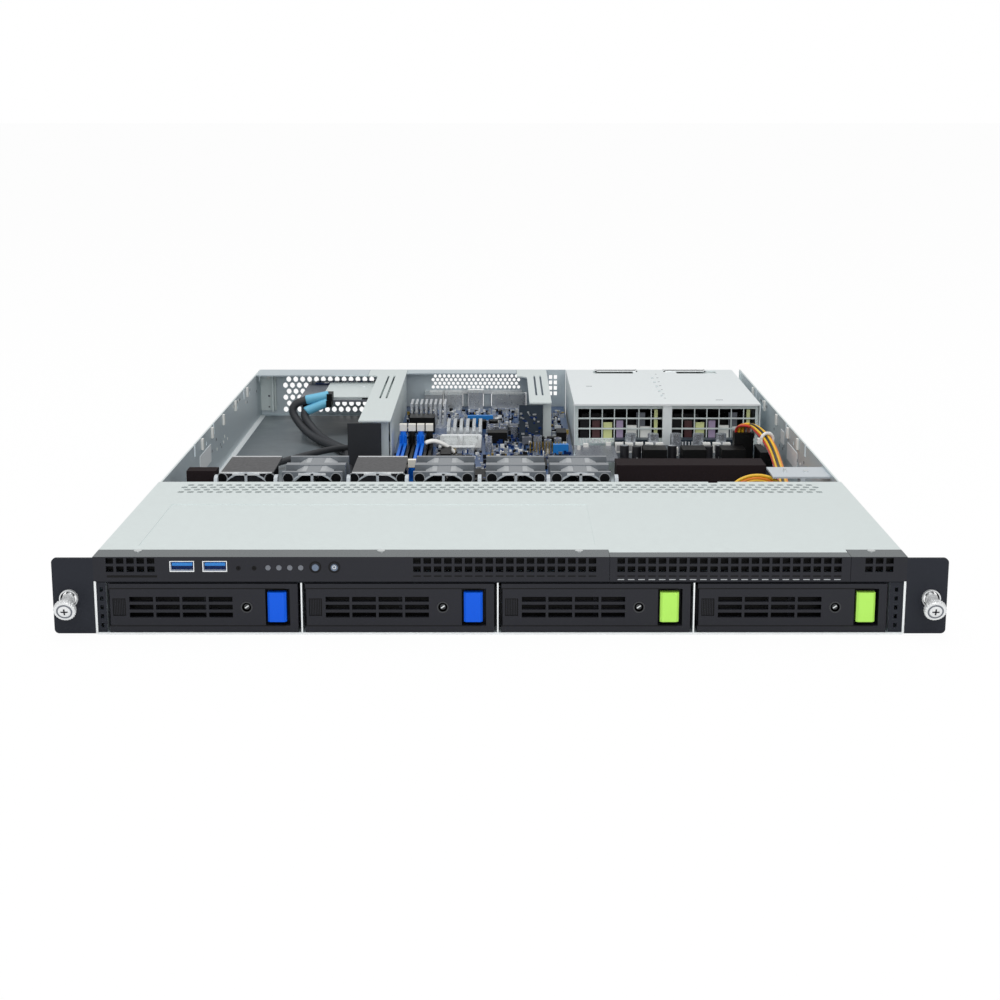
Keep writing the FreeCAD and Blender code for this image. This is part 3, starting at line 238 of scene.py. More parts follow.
def finish(name, code, rough, grain_mm, shade=0.0, metallic=0.0, bump=0.0, spread=0.05, coat=0.0, specular=0.5):
    """A surface whose roughness, colour and height vary by spread, shade and bump (mm) with noise of a real grain
    size."""
    material = bpy.data.materials.new(name)
    material.use_nodes = True
    tree = material.node_tree
    shader = tree.nodes["Principled BSDF"]
    colour = linear(code)
    for socket, value in (("Base Color", colour), ("Metallic", metallic), ("Coat Weight", coat),
                          ("Specular IOR Level", specular)):
        shader.inputs[socket].default_value = value
    material.diffuse_color = colour
    place = add(tree, "ShaderNodeTexCoord")
    noise = add(tree, "ShaderNodeTexNoise", [("Vector", place.outputs["Object"])],
                Scale=1000 / grain_mm, Detail=3.0, Roughness=0.6)
    ramp = add(tree, "ShaderNodeMapRange", [("Value", noise.outputs["Fac"])],
               From_Min=0.3, From_Max=0.7, To_Min=rough - spread, To_Max=rough + spread)
    tree.links.new(ramp.outputs["Result"], shader.inputs["Roughness"])
    if shade:
        mix = add(tree, "ShaderNodeMix", [("Factor", noise.outputs["Fac"])], data_type="RGBA")
        mix.inputs[6].default_value = tuple(c * (1 - shade) for c in colour[:3]) + (1.0,)
        mix.inputs[7].default_value = tuple(min(1.0, c * (1 + shade)) for c in colour[:3]) + (1.0,)
        tree.links.new(mix.outputs[2], shader.inputs["Base Color"])
    if bump:
        height = add(tree, "ShaderNodeBump", [("Height", noise.outputs["Fac"])], Strength=1.0, Distance=bump / 1000)
        tree.links.new(height.outputs["Normal"], shader.inputs["Normal"])
    MADE[name] = material


def make_finishes():
    """Every finish by its common name: colour, roughness, grain in mm and how far the colour varies, then the rest."""
    # hot-dip galvanised sheet: pale, softly mirrored, with a faint spangle
    finish("galvanised_sheet", "#dee7e6", 0.42, 3.0, 0.03, metallic=0.3)
    finish("cage_sheet", "#eef4f5", 0.42, 3.0, 0.03, metallic=0.25)
    # a lighter copy of the sheet: painted highlight on edges, rims, seams and wall patches, and the own colour of small
    # bright metal parts such as pins, plates and rings
    finish("bright_metal_and_edge_highlight", "#f4f7f8", 0.4, 3.0, metallic=0.2)
    # a darker copy of the galvanised sheet for walls and inner faces: painted shade
    finish("galvanised_painted_shade", "#c9d4d9", 0.45, 4.0, 0.05, metallic=0.45)
    # injection-moulded ABS with a spark-eroded grain
    finish("black_abs", "#25262c", 0.38, 0.5, 0.08, bump=0.02, specular=0.2)
    # a lighter grey copy of the black ABS for the bezels' top faces: painted highlight
    finish("bezel_top_highlight_abs", "#5a6062", 0.3, 0.5, 0.08, bump=0.02)
    finish("blue_abs", "#005ae0", 0.4, 0.8, 0.04, bump=0.01, specular=0.2)
    finish("lime_abs", "#b4f05e", 0.35, 0.8, 0.04, bump=0.01)
    finish("grey_button", "#66758a", 0.35, 1.0, 0.04)
    finish("lamp_pipe", "#6c7078", 0.3, 1.0, 0.04)
    finish("release_green", "#1f9a63", 0.4, 1.0, 0.04)
    # powder coat over steel, with a fine orange peel
    finish("black_powder_coat", "#22252d", 0.5, 0.9, 0.06, bump=0.03, specular=0.2)
    # plated and extruded metal: mirrored, with hardly any grain
    finish("nickel_plate", "#e6e8e9", 0.3, 1.0, metallic=0.5)
    finish("zinc_screw", "#e4e8e8", 0.3, 1.0, metallic=0.7)
    finish("tin_plate", "#c8cbcb", 0.3, 1.5, metallic=0.85)
    finish("gold_plate", "#c9a84e", 0.3, 1.0, metallic=0.9)
    finish("capacitor_can", "#b9bec6", 0.25, 1.0, metallic=0.7)
    finish("extruded_aluminium", "#dfe3e6", 0.3, 1.5, metallic=0.75)
    # glass-filled PBT of the fans, with streaks of flow
    finish("fan_pbt", "#767c82", 0.32, 1.5, 0.06, coat=0.2)
    # a lighter copy of the fans' PBT: painted highlight on the barrels' tops, on rims round the rubber corners and
    # under the bezel's vents
    finish("fan_pbt_highlight", "#a9adb0", 0.35, 1.5, 0.05)
    finish("fan_blade", "#2a2c30", 0.35, 1.5, 0.06)
    finish("bracket_grey", "#c4cbd0", 0.4, 2.0, 0.05)
    # EPDM sponge, cut in strips: open cells, no shine
    finish("foam", "#241c1e", 0.95, 0.8, 0.25, bump=0.15, specular=0.2)
    # polyester film: smooth, with broad waves in its shine
    finish("black_polyester_film", "#646c71", 0.38, 30.0, 0.08, spread=0.1)
    finish("brown_film", "#4a2a2c", 0.35, 2.0, 0.06)
    finish("yellow_tape", "#d5db9c", 0.4, 1.5, 0.08)
    # solder mask over glass fibre, mottled by the copper under it
    finish("blue_solder_mask", "#1c4270", 0.35, 1.2, 0.3)
    finish("dark_solder_mask", "#27333f", 0.35, 1.2, 0.3)
    # moulded nylon of sockets and plugs
    finish("usb_blue", "#1b7ccc", 0.35, 2.0, 0.04)
    finish("navy_nylon", "#0a2c63", 0.35, 2.0, 0.04, specular=0.2)
    finish("blue_nylon", "#0a6fdc", 0.4, 2.0, 0.04, specular=0.3)
    finish("black_nylon", "#050506", 0.45, 2.0, 0.05, specular=0.2)
    finish("white_nylon", "#eeeeea", 0.4, 2.0, 0.03)
    finish("ivory_nylon", "#f6f2e6", 0.45, 2.0, 0.03)
    finish("black_epoxy", "#151518", 0.45, 0.8, 0.1, specular=0.2)
    # braided sleeve, drawn as a coarse weave, and shrunk tube
    finish("braided_sleeve", "#303236", 0.6, 0.6, 0.4, bump=0.12)
    finish("sky_sleeve", "#6dbcdc", 0.45, 1.0, 0.05)
    finish("mauve_sleeve", "#a796b4", 0.4, 1.5, 0.06)
    # extruded PVC of the wires: even and slightly waxy
    for colour, code in (("red", "#c8322a"), ("orange", "#f08a1c"), ("yellow", "#f3c02a"), ("black", "#26262a"),
                         ("grey", "#9a9a9c"), ("white", "#e9e9e6"), ("pink", "#cf8f86")):
        finish(f"{colour}_pvc", code, 0.35, 2.0, 0.04)


def paint(name, base, *regions):
    """Gives a CAD node one finish, and its faces inside boxes of (x1, y1, z1, x2, y2, z2) others."""
    mesh = NODES[name].data
    mesh.materials.clear()
    for material in [base] + [material for material, *_ in regions]:
        mesh.materials.append(MADE[material])
    centres = np.empty(len(mesh.polygons) * 3)
    mesh.polygons.foreach_get("center", centres)
    centres = centres.reshape(-1, 3) * 1000 - ORIGIN
    index = np.zeros(len(mesh.polygons), np.int32)
    for k, (_, *limits) in enumerate(regions, 1):
        limits = np.array(limits, float)
        index[np.all((centres >= limits[:3]) & (centres <= limits[3:]), axis=1)] = k
    mesh.polygons.foreach_set("material_index", index)
    mesh.update()


# ---- which finish each CAD piece takes
DIVIDERS = (-107.2, -1.2, 104.8)  # middles of the sheets between the drive bays
USB_XS = (-171.1, -153.4)         # middles of the two front sockets
EVERYWHERE = (-400, 900)          # further than the part reaches
PLAIN = (
    ("galvanised_sheet", "front_cover left_riser_bracket right_riser_bracket"), ("cage_sheet", "psu_cage"),
    # the rear panel takes the darker copy of the galvanised sheet: painted shade
    ("galvanised_painted_shade", "rear_panel"), ("black_powder_coat", "rack_ears"), ("zinc_screw", "bezel_screws"),
    ("nickel_plate", "ear_ferrules left_screw right_screw"), ("grey_button", "id_button power_button"),
    ("black_nylon", "nmi_button reset_button board_components"), ("blue_solder_mask", "backplane motherboard"),
    ("bracket_grey", "fan_bracket"), ("fan_pbt", "fan_housings"), ("black_pvc", "fan_blanks"),
    ("foam", "foam_baffles"), ("black_polyester_film", "floor_insulator"), ("tin_plate", "cpu_socket rear_io_ports"),
    ("blue_nylon", "dimm_sockets"), ("extruded_aluminium", "heatsinks"), ("braided_sleeve", "signal_cables"),
    ("orange_pvc", "wire_harness"), ("release_green", "psu_latch_1 psu_latch_2"),
)


def region(material, x=EVERYWHERE, y=EVERYWHERE, z=EVERYWHERE):
    """A finish and the box that it fills, each side from low to high."""
    return material, x[0], y[0], z[0], x[1], y[1], z[1]


def paint_nodes():
    """The finishes of the CAD pieces, with the parts of a built-up piece told apart by where they are."""
    for material, names in PLAIN:
        for name in names.split():
            paint(name, material)
    half = extent("chassis_base")[1][0]
    # the floor and inner walls take the darker copy of the sheet as painted shade, the outer sides and the walls' top
    # edges the plain sheet, and the front edges the lighter copy as painted highlight
    paint("chassis_base", "galvanised_painted_shade", region("bright_metal_and_edge_highlight", y=(-1, 0.8)),
          region("galvanised_sheet", z=(42.4, 43)),
          *[region("galvanised_sheet", x=(side * half - 0.1, side * half + 0.1)) for side in (-1, 1)])
    # the cage's walls take the darker copy of the sheet as painted shade, and the dividers' front edges the lighter
    # copy as painted highlight
    paint("drive_cage", "galvanised_painted_shade", region("black_powder_coat", y=(-5, 3)),
          *[region("bright_metal_and_edge_highlight", x=(x - 0.6, x + 0.6), y=(-5, 3)) for x in DIVIDERS])
    for name in ("control_bezel", "filler_bezel", "end_bezel"):
        # the top faces take the lighter grey copy of the ABS as painted highlight
        paint(name, "black_abs", region("bezel_top_highlight_abs", z=(43.4, 44)))
    # the sockets' shells take the lighter copy of the sheet: their own bright metal with painted highlight
    paint("front_panel_board", "dark_solder_mask", region("bright_metal_and_edge_highlight", x=(-180, -145), z=(35.1, 50)),
          *[region("usb_blue", x=(x - 5.6, x + 5.6), y=(1, 14), z=(38.2, 40.1)) for x in USB_XS],
          region("lamp_pipe", x=(-128, -105), z=(35.3, 50)), region("black_nylon", x=(-104, -80), z=(35.3, 50)))
    for n in range(1, TRAY_COUNT + 1):
        tray_front = extent(f"tray_{n}")[0][1]
        # the steel carriers behind the tray's front take the darker copy of the sheet: painted shade
        paint(f"tray_{n}", "black_abs", region("galvanised_painted_shade", y=(tray_front + 11.05, 900)))
        paint(f"tray_lever_{n}", "black_abs")
        paint(f"tray_latch_{n}", "blue_abs" if n < 3 else "lime_abs")
    for n in range(1, FAN_COUNT + 1):
        for side in ("front", "rear"):
            paint(f"fan_{n}_{side}_rotor", "fan_blade")
    paint("adapter_card", "lamp_pipe", region("galvanised_sheet", x=(-147, -117), z=(32.65, 40)),
          region("black_nylon", x=(-168, -147), y=(567, 580.5), z=(28.5, 36.5)))
    paint("power_board", "dark_solder_mask",
          *[region(material, y=y, z=(9.3, 40)) for material, y in (
              ("capacitor_can", (468, 480)), ("white_nylon", (370, 392)), ("black_nylon", (395, 460)))])
    for n in (1, 2):
        low, high = extent(f"psu_{n}")
        # the parts inside each supply and the case's own inner faces are painted dark: partly the parts' own colour,
        # partly painted shade inside the case
        paint(f"psu_{n}", "galvanised_sheet",
              region("black_epoxy", x=(low[0] + 2, high[0] - 2), y=(low[1] + 11, 674), z=(2.6, 39.4)))


# ---- pierced sheets
def order(points, plane):
    """Puts (u, v, w) points in place: w is the height of a lying sheet, or the depth of an upright one."""
    points = np.asarray(points, float)
    return points if plane == "xy" else points[:, (0, 2, 1)]


def pierced_band(field, rows, pitch, rim, w1, w2, plane="xy"):
    """Staggered rows of holes in a sheet: eight points of each rim are joined to the corners and mid-sides of the
    hole's own rectangular cell, above and below, and to each other through the sheet."""
    u1, v1, u2, v2 = field
    deep = (v2 - v1) / rows
    count = int((u2 - u1) / pitch)
    start = (u1 + u2) / 2 - pitch * count / 2
    turn = around(8)
    cell = np.stack([np.sign(np.round(np.cos(turn), 6)) * pitch / 2, np.sign(np.round(np.sin(turn), 6)) * deep / 2], 1)
    places = np.array([(start + (k + 0.5 + 0.5 * (r % 2)) * pitch, v1 + (r + 0.5) * deep)
                       for r in range(rows) for k in range(count - (r % 2))])
    outlines = np.stack([rim, cell])[None] + places[:, None, None]
    shape = (len(places), 2, 2, 8)
    heights = np.broadcast_to(np.array((w2, w1))[None, :, None, None, None], shape + (1,))
    points = np.concatenate([np.broadcast_to(outlines[:, None], shape + (2,)), heights], -1).reshape(-1, 3)
    near = np.arange(8)
    far = (near + 1) % 8
    faces = np.concatenate([np.stack(corners, 1) for corners in (
        (near, 8 + near, 8 + far, far), (16 + far, 24 + far, 24 + near, 16 + near), (near, far, 16 + far, 16 + near))])
    faces = (faces[None] + 32 * np.arange(len(places))[:, None, None]).reshape(-1, 4)
    if plane == "xz":
        faces = faces[:, ::-1]
    ends = []
    for r in range(rows):
        shift = 0.5 * pitch * (r % 2)
        for a, b in ((u1, start + shift), (start + pitch * count - shift, u2)):
            end = order([(a, v1 + r * deep, w1), (b, v1 + (r + 1) * deep, w2)], plane)
            ends.append([*np.min(end, 0), *np.max(end, 0)])
    return merge((order(points, plane), faces), blocks(ends))


def windowed_sheet(outer, windows, w1, w2):
    """An upright sheet with rectangular windows: a grid runs through every window's edges, a cell outside all windows
    gets a face on each side, and an edge between a kept cell and a missing one gets a wall."""
    us = np.unique([outer[0], outer[2]] + [w[k] for w in windows for k in (0, 2)])
    vs = np.unique([outer[1], outer[3]] + [w[k] for w in windows for k in (1, 3)])
    us = us[(us >= outer[0]) & (us <= outer[2])]
    vs = vs[(vs >= outer[1]) & (vs <= outer[3])]
    u_mid, v_mid = (us[1:] + us[:-1]) / 2, (vs[1:] + vs[:-1]) / 2
    kept = np.ones((len(us) + 1, len(vs) + 1), bool)
    kept[[0, -1]] = kept[:, [0, -1]] = False
    for a, b, c, d in windows:
        kept[1:-1, 1:-1] &= ~np.outer((u_mid > a) & (u_mid < c), (v_mid > b) & (v_mid < d))
    grid = np.stack(np.meshgrid(us, vs, (w1, w2), indexing="ij"), -1).reshape(-1, 3)
    number = np.arange(len(us) * len(vs) * 2).reshape(len(us), len(vs), 2)
    i, j = np.nonzero(kept[1:-1, 1:-1])
    corners = ((0, 0), (1, 0), (1, 1), (0, 1))
    faces = [np.stack([number[i + a, j + b, 1] for a, b in corners], 1),
             np.stack([number[i + b, j + a, 0] for a, b in corners], 1)]
    for step, here, there in (((1, 0), (0, 0), (0, 1)), ((-1, 0), (1, 0), (1, 1)), ((0, 1), (0, 0), (1, 0)),
                              ((0, -1), (0, 1), (1, 1))):
        neighbour = np.roll(kept, step, (0, 1))
        i, j = np.nonzero((kept & ~neighbour)[1:-1, 1:-1])
        near, far = number[i + here[0], j + here[1]], number[i + there[0], j + there[1]]
        wall = np.stack([near[:, 0], near[:, 1], far[:, 1], far[:, 0]], 1)
        faces.append(wall if step in ((1, 0), (0, -1)) else wall[:, ::-1])
    return order(grid, "xz"), np.concatenate(faces)[:, ::-1]


# ---- the front lid
SLOT_BAND = (160.0, 187.5)       # along Y
SLOT_ROWS = 4
SLOT_WIDE = 4.3
SLOT_LONG = 4.8
SLOT_MARGIN = 15.0               # from the lid's sides to the band
PRESSED = (-199.0, 24.0, 52.5, 128.6)
LID_NOTCH = (133.5, 139.5, 3.2)  # from X to X, and how deep
LID_SHEET = 1.0                  # thickness


def make_lid(pitch):
    """The fixed lid: a plate round the slots and the pressed field, a folded lip and two folded sides. A slot's rim
    is a superellipse through eight points."""
    low, high = extent("front_cover")
    left, (right, rear, top) = low[0], high
    under = top - LID_SHEET
    filler_low, filler_high = extent("filler_bezel")
    lip_y = filler_high[1] + 0.2
    deep_y = extent("end_bezel")[1][1] + 0.2
    x1, y1, x2, y2 = PRESSED
    b1, b2 = SLOT_BAND
    half = right - SLOT_MARGIN
    notch_1, notch_2, notch_deep = LID_NOTCH
    plates = [(left, deep_y, under, right, y1, top),
              (filler_low[0] + 0.1, lip_y, under, filler_high[0] - 0.1, deep_y, top),
              (left, y1, under, x1, y2, top), (x2, y1, under, right, y2, top),
              (x1, y1, under, x2, y2, top - 0.3), (left, y2, under, right, b1, top),
              (left, b1, under, -half, b2, top), (half, b1, under, right, b2, top),
              (left, b2, under, notch_1, rear, top), (notch_2, b2, under, right, rear, top),
              (notch_1, b2, under, notch_2, rear - notch_deep, top),
              (left + 2, low[1], under - LID_SHEET, right - 2, deep_y + 2, under)]
    plates += [(x, 22.0, under - 7, x + LID_SHEET, rear - 6, under) for x in (1.5 - right, right - 2.5)]
    rim = np.stack([np.sign(wave) * abs(wave) ** 0.7 * size / 2 for wave, size in (
        (np.round(np.cos(around(8)), 6), SLOT_WIDE), (np.round(np.sin(around(8)), 6), SLOT_LONG))], 1)
    lid = dress("lid_sheet", "galvanised_sheet", blocks(plates),
                pierced_band((-half, b1, half, b2), SLOT_ROWS, pitch, rim, under, top), slot="zinc_sheet")
    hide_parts("front_cover")


# ---- the front's small parts
VENT_PITCH = 5.55                # between the columns of the bezel's vents
LOCK_SHIFT = 73.7                # from a lever's left end to its lock
LOCK_TURN = 35                   # degrees that the lock's slot is turned


def make_front():
    """Painted shade inside the sockets, round the buttons and in the grooves under the vents, a painted highlight below
    each vent column, and the screens in the vents.
    """
    usb_top = extent("front_panel_board")[1][2]
    # dark blocks in the lower half of the sockets: painted shade inside them
    dress("usb_inside_shade", "navy_nylon",
          blocks([(x - 5.9, 4, usb_top - 5.4, x + 5.9, 13, usb_top - 3.0) for x in USB_XS]))
    buttons, pins = [[middle(f"{name}_button") for name in names] for names in (("id", "power"), ("nmi", "reset"))]
    # dark rings round the buttons and round the pin buttons: painted shade in the gaps and holes
    dress("button_ring_shade", "black_nylon", rings([(x, -0.12, z, 2.55, 3.2, 0.2) for x, _, z in buttons]),
          rings([(x, -0.08, z, 0.35, 1.3, 0.16) for x, _, z in pins]), slot="bezel_black")
    x, _, z = buttons[1]
    dress("button_symbols", "white_nylon", rings([(x, -0.36, z, 0.7, 1.0, 0.06)]), body="power_button_body",
          slot="button_grey")
    low, high = extent("filler_bezel")
    top = high[2]
    columns = np.arange(low[0] + 6.0, high[0] - 6, VENT_PITCH)
    # a light line below each vent column: painted highlight
    dress("vent_edge_highlights", "fan_pbt_highlight",
          blocks([(x - 1.75, -0.1, top - 12.75, x + 1.75, 0.05, top - 12.3) for x in columns]), slot="bezel_black")
    # dark dashes under the vents: painted shade in their grooves
    grooves = [(x, -0.06, top - 11.0, x + 4.1, 0.06, top - 10.3) for x in np.arange(-46.7, 52, VENT_PITCH)]
    grooves += [(-211.6, -0.06, top - 11.4, -184.6, 0.06, top - 10.2)]
    grooves += [(x - 2.05, -0.06, top - 11.0, x + 2.05, 0.06, top - 10.3) for x in columns]
    dress("vent_groove_shade", "black_nylon", blocks(grooves), slot="bezel_black")
    wall = extent("chassis_base")[1][0]
    dress("vent_screens", "black_nylon", blocks([(x1, 4.6, top - 8.6, x2, 4.9, top - 1.0) for x1, x2 in (
        (-wall + 6, -wall + 34.5), (-wall + 171.8, 53.5), (low[0] + 3, high[0] - 3), (high[0] + 7, wall - 5))]),
        slot="foam")


def make_tray_parts():
    """Each tray's dark mesh, painted shade in the gaps above and below its lever, and the lever's ribbed window and
    lock with a slanted slot.
    """
    for n in range(1, TRAY_COUNT + 1):
        tray = dict(body=f"tray_{n}_body", slot="tray_black")
        lever = dict(body=f"tray_lever_{n}_body", slot="tray_black")
        x = middle(f"tray_{n}")[0]
        dress(f"tray_mesh_{n}", "black_nylon", blocks([(x - 44, 10.2, 7.6, x + 27.8, 10.5, 23.4)]), **tray)
        (left, _, bottom), (right, _, top) = extent(f"tray_lever_{n}")
        # dark strips above and below the lever: painted shade in the gaps
        dress(f"tray_gap_shade_{n}", "black_nylon",
              blocks([(left - 0.4, -0.03, z, right + 10.6, 0.3, z + 0.55) for z in (top, bottom - 0.55)]), **tray)
        z = (top + bottom) / 2
        dress(f"tray_window_{n}", "black_nylon",
              blocks([(left + 1.45, 0.6, z - 4.85, left + 8.35, 0.95, z + 4.85)]), **lever)
        dress(f"tray_window_ribs_{n}", "black_abs",
              blocks([(left + 1.9 + 0.9 * k, 0.4, z - 4.4, left + 2.3 + 0.9 * k, 0.6, z + 4.4) for k in range(7)]),
              **lever)
        x = LOCK_SHIFT + left
        dress(f"tray_lock_{n}", "fan_blade", rings([(x, -0.15, z, 2.5, 3.2, 0.25)]),
              studs([(x, 0.9, z, 1.5, 0.8)], 20, 1), **lever)
        turn = math.radians(LOCK_TURN)
        bar = np.array([(-1.2, -0.3), (1.2, -0.3), (1.2, 0.3), (-1.2, 0.3)])
        bar = bar @ np.array([(math.cos(turn), math.sin(turn)), (-math.sin(turn), math.cos(turn))])
        points = [(x + a, y, z + b) for y in (0.7, 0.9) for a, b in bar]
        faces = [(0, 1, 2, 3), (7, 6, 5, 4)] + [(k, k + 4, (k + 1) % 4 + 4, (k + 1) % 4) for k in range(4)]
        dress(f"tray_lock_slot_{n}", "zinc_screw", (points, faces), body=lever["body"], slot="plated_screw")


# ---- the fan row
GUARD_XS = (-168.3, -81.1)       # middles of the two guards without a fan
FAN_Z = 22.5
RIM_RADII = (18.6, 19.7)         # of a guard
GROMMET = (15.9, 15.6)           # from a fan's middle to its rubber corners


def make_fan_parts():
    """Each fan's guard rim and strut, rubber corners, saddles on its barrels in painted highlight, and painted shade in
    the gaps beside them and behind the empty guards.
    """
    (_, front, _), (_, rear, top) = extent("fan_housings")
    middle_y = (front + rear) / 2
    fans = [middle(f"fan_{n}_front_rotor")[0] for n in range(1, FAN_COUNT + 1)]
    guards = list(GUARD_XS) + fans
    dress("fan_rims", "bracket_grey", rings([(x, front - 0.7, FAN_Z, *RIM_RADII, 0.7) for x in guards]),
          blocks([(x - 0.9, front - 1.0, FAN_Z - 18.8, x + 0.9, front - 0.3, FAN_Z + 18.8) for x in guards]),
          slot="bracket_grey")
    # bars of the guards in the lighter copy of the sheet: painted highlight
    bars = [(x - 9, front - 1.0, FAN_Z + 17.6, x + 9, front - 0.2, FAN_Z + 18.9) for x in guards]
    bars += [(x - 17, a, 41.0, x + 17, a + 1.2, 41.9) for x in GUARD_XS for a in (front + 0.6, rear - 0.8)]
    dress("guard_bars", "bright_metal_and_edge_highlight", blocks(bars), slot="bracket_grey")
    corners = [(x + side * GROMMET[0], FAN_Z + GROMMET[1]) for x in guards for side in (-1, 1)]
    dress("fan_grommets", "black_nylon", studs([(x, front - 0.9, z, 3.3, 0.9) for x, z in corners], 20, 1),
          slot="fan_grey")
    # light rims round the rubber corners: painted highlight
    dress("fan_grommet_rims", "fan_pbt_highlight", rings([(x, front - 1.0, z, 3.3, 3.8, 0.4) for x, z in corners], 20),
          slot="fan_grey")
    spans = ((front + 3.6, middle_y - 2.0), (middle_y + 2.0, rear - 3.6))
    # light tops on the barrels: painted highlight
    dress("fan_saddles", "fan_pbt_highlight", saddles([(x - 12.5, a, top - 3.4, x + 12.5, b, top - 0.7, 5.0) for x in fans
                                                   for a, b in spans]), slot="fan_grey")
    # dark strips beside the saddles: painted shade in the gaps
    gaps = [(x + shift - 2.8, a + 1, top - 4.6, x + shift + 2.8, b - 1, top - 4.0) for x in fans
            for a, b in spans for shift in (-15.6, 15.6)]
    dress("fan_gap_shade", "black_nylon", blocks(gaps), slot="fan_grey")
    # dark sheets behind the two empty guards: painted shade
    dress("guard_painted_shade", "black_nylon",
          blocks([(x - 18.5, front + 2.5, 3, x + 18.5, front + 2.9, 40) for x in GUARD_XS]), slot="film")


# ---- the supplies' insides
SUPPLY_PARTS = (                 # finish, how far behind the grille, and rows of (x1, x2, tall)
    ("black_epoxy", 0, [(4, 14, 26)]), ("brown_film", 0, [(11, 20, 25)]),
    ("yellow_tape", 0, [(23, 30, 23.5), (64.2, 67, 34)]), ("mauve_sleeve", 0, [(33.5, 39, 25)]),
    ("white_pvc", 0, [(42, 50, 21), (53, 62, 20)]), ("lamp_pipe", 3, [(50, 57, 31)]))
HANDLE_RIM = 1.4                 # width of a handle's rim in painted highlight
HANDLE_XS = (0, 38)              # from end to end of a rim
HANDLE_YS = (-13, -3.2)          # from the cage's rear edge


def make_supply_parts():
    """What is seen through each supply's grille, and the cage's lip in painted highlight, pressed marks and handles
    with rims in painted highlight and painted shade in their wells.
    """
    for n in (1, 2):
        x, y, z = extent(f"psu_{n}")[0] + (0, 10.6, 1.5)
        for k, (material, back, rows) in enumerate(SUPPLY_PARTS, 1):
            boxes = [(x + a, y + back, z, x + b, y + 2 + back, z + tall) for a, b, tall in rows]
            dress(f"supply_{n}_part_{k}", material, blocks(boxes), body=f"psu_{n}_body")
    low, (right, rear, top) = extent("psu_cage")
    # the cage's front lip in the lighter copy of the sheet: painted highlight
    dress("cage_lip", "bright_metal_and_edge_highlight",
          blocks([(low[0] + 5.5, low[1] - 1.0, top - 1.2, right - 2, low[1], top + 0.2)]), slot="zinc_sheet")
    dots = [(low[0] + 82 + 0.6 * k, low[1] + 30 + 22 * k, top, 0.9 + 0.2 * (k % 2), 0.08) for k in range(7)]
    marks = [(low[0] + 20, low[1] + 92, low[0] + 25, low[1] + 94, 0.08),
             (right - 34, low[1] + 20, right - 28, low[1] + 22, 0.08)]
    dress("cage_marks", "lamp_pipe", studs(dots, 10), standing(marks, top), slot="zinc_sheet")
    for k, left in enumerate((low[0] + 32, right - 63), 1):
        (x1, x2), (y1, y2) = [left + x for x in HANDLE_XS], [rear + y for y in HANDLE_YS]
        x3, y3, x4, y4 = x1 + HANDLE_RIM, y1 + HANDLE_RIM, x2 - HANDLE_RIM, y2 - HANDLE_RIM
        rim = [(x1, y1, x2, y3), (x1, y4, x2, y2), (x1, y1, x3, y2), (x4, y1, x2, y2)]
        # the handle's rim in the lighter copy of the sheet as painted highlight, and a dark block in its well as
        # painted shade
        dress(f"handle_rim_highlight_{k}", "bright_metal_and_edge_highlight", standing([(*corners, 0.7) for corners in rim], top), slot="zinc_sheet")
        dress(f"handle_well_shade_{k}", "black_epoxy", blocks([(x3, y3, top - 0.05, x4, y4, top + 0.12)]), slot="zinc_sheet")


# ---- parts on the power board
PLATE_ZS = (13.6, 14.4)          # of the dark plate at the left


def make_power_parts():
    """Zigzag pins, white sockets, round capacitors and small parts in rows, and the dark plate at the left."""
    low, high = extent("power_board")
    z, rear = BOARD_TOP, high[1]
    pins = [(x + 2.6 * k, rear - 18 + 1.6 * (k % 2), foot, 0.55, tall)
            for x, foot, tall in ((96.0, z, 6.0), (141.0, z, 6.0), (64, 14.5, 3.0)) for k in range(10)]
    dress("power_pins", "bright_metal_and_edge_highlight", studs(pins, 8), slot="socket_metal")
    whites = [(x, rear - 32, x + 6.0, rear - 26, 7.5) for x in (91.5, 99.5, 107.5, 115.5, 123.5, 161, 169, 177)]
    whites += [(x, rear - 45, x + 4.2, rear - 41, 6.5) for x in (96, 122, 136, 154, 177)]
    dress("power_sockets", "white_nylon", standing(whites))
    dress("power_socket_slots", "grey_pvc",
          blocks([(x1 + 1, y - 0.1, z + 1.5, x2 - 1, y, z + tall - 1.5) for x1, y, x2, _, tall in whites]))
    rounds = [(x, rear - 56 - 3 * (k % 2), z, 3.6, 10.5) for k, x in enumerate(np.arange(97, 181, 9.3))]
    dress("power_round_parts", "black_pvc", studs(rounds, 20))
    dress("power_round_tops", "capacitor_can", studs([(x, y, z + 10.5, 3.2, 0.15) for x, y, *_ in rounds[::2]], 20))
    rng = np.random.default_rng(5)
    spots = np.stack([rng.uniform(low[0] + 2, high[0] - 4, 160), rng.uniform(low[1] + 18, rear - 12, 160)], 1)
    sizes = rng.uniform(0.6, 2.4, (160, 3))
    small = [(x, y, z, x + a, y + b, z + 0.5 + c) for (x, y), (a, b, c) in zip(spots, sizes)]
    dress("power_small_parts", "tin_plate", blocks(small[::2]))
    dress("power_small_chips", "black_epoxy", blocks(small[1::2]))
    bottom, top = PLATE_ZS
    dress("left_plate", "lamp_pipe", blocks([(58.5, 408, bottom, 90.5, 470, top)]), slot="film")
    dress("left_plate_parts", "white_nylon", blocks([(66, 462, top, 70, 466, 17), (84, 468, top, 88, 471, 17)]),
          studs([(62, 452, top, 1.4, 3)], 12))


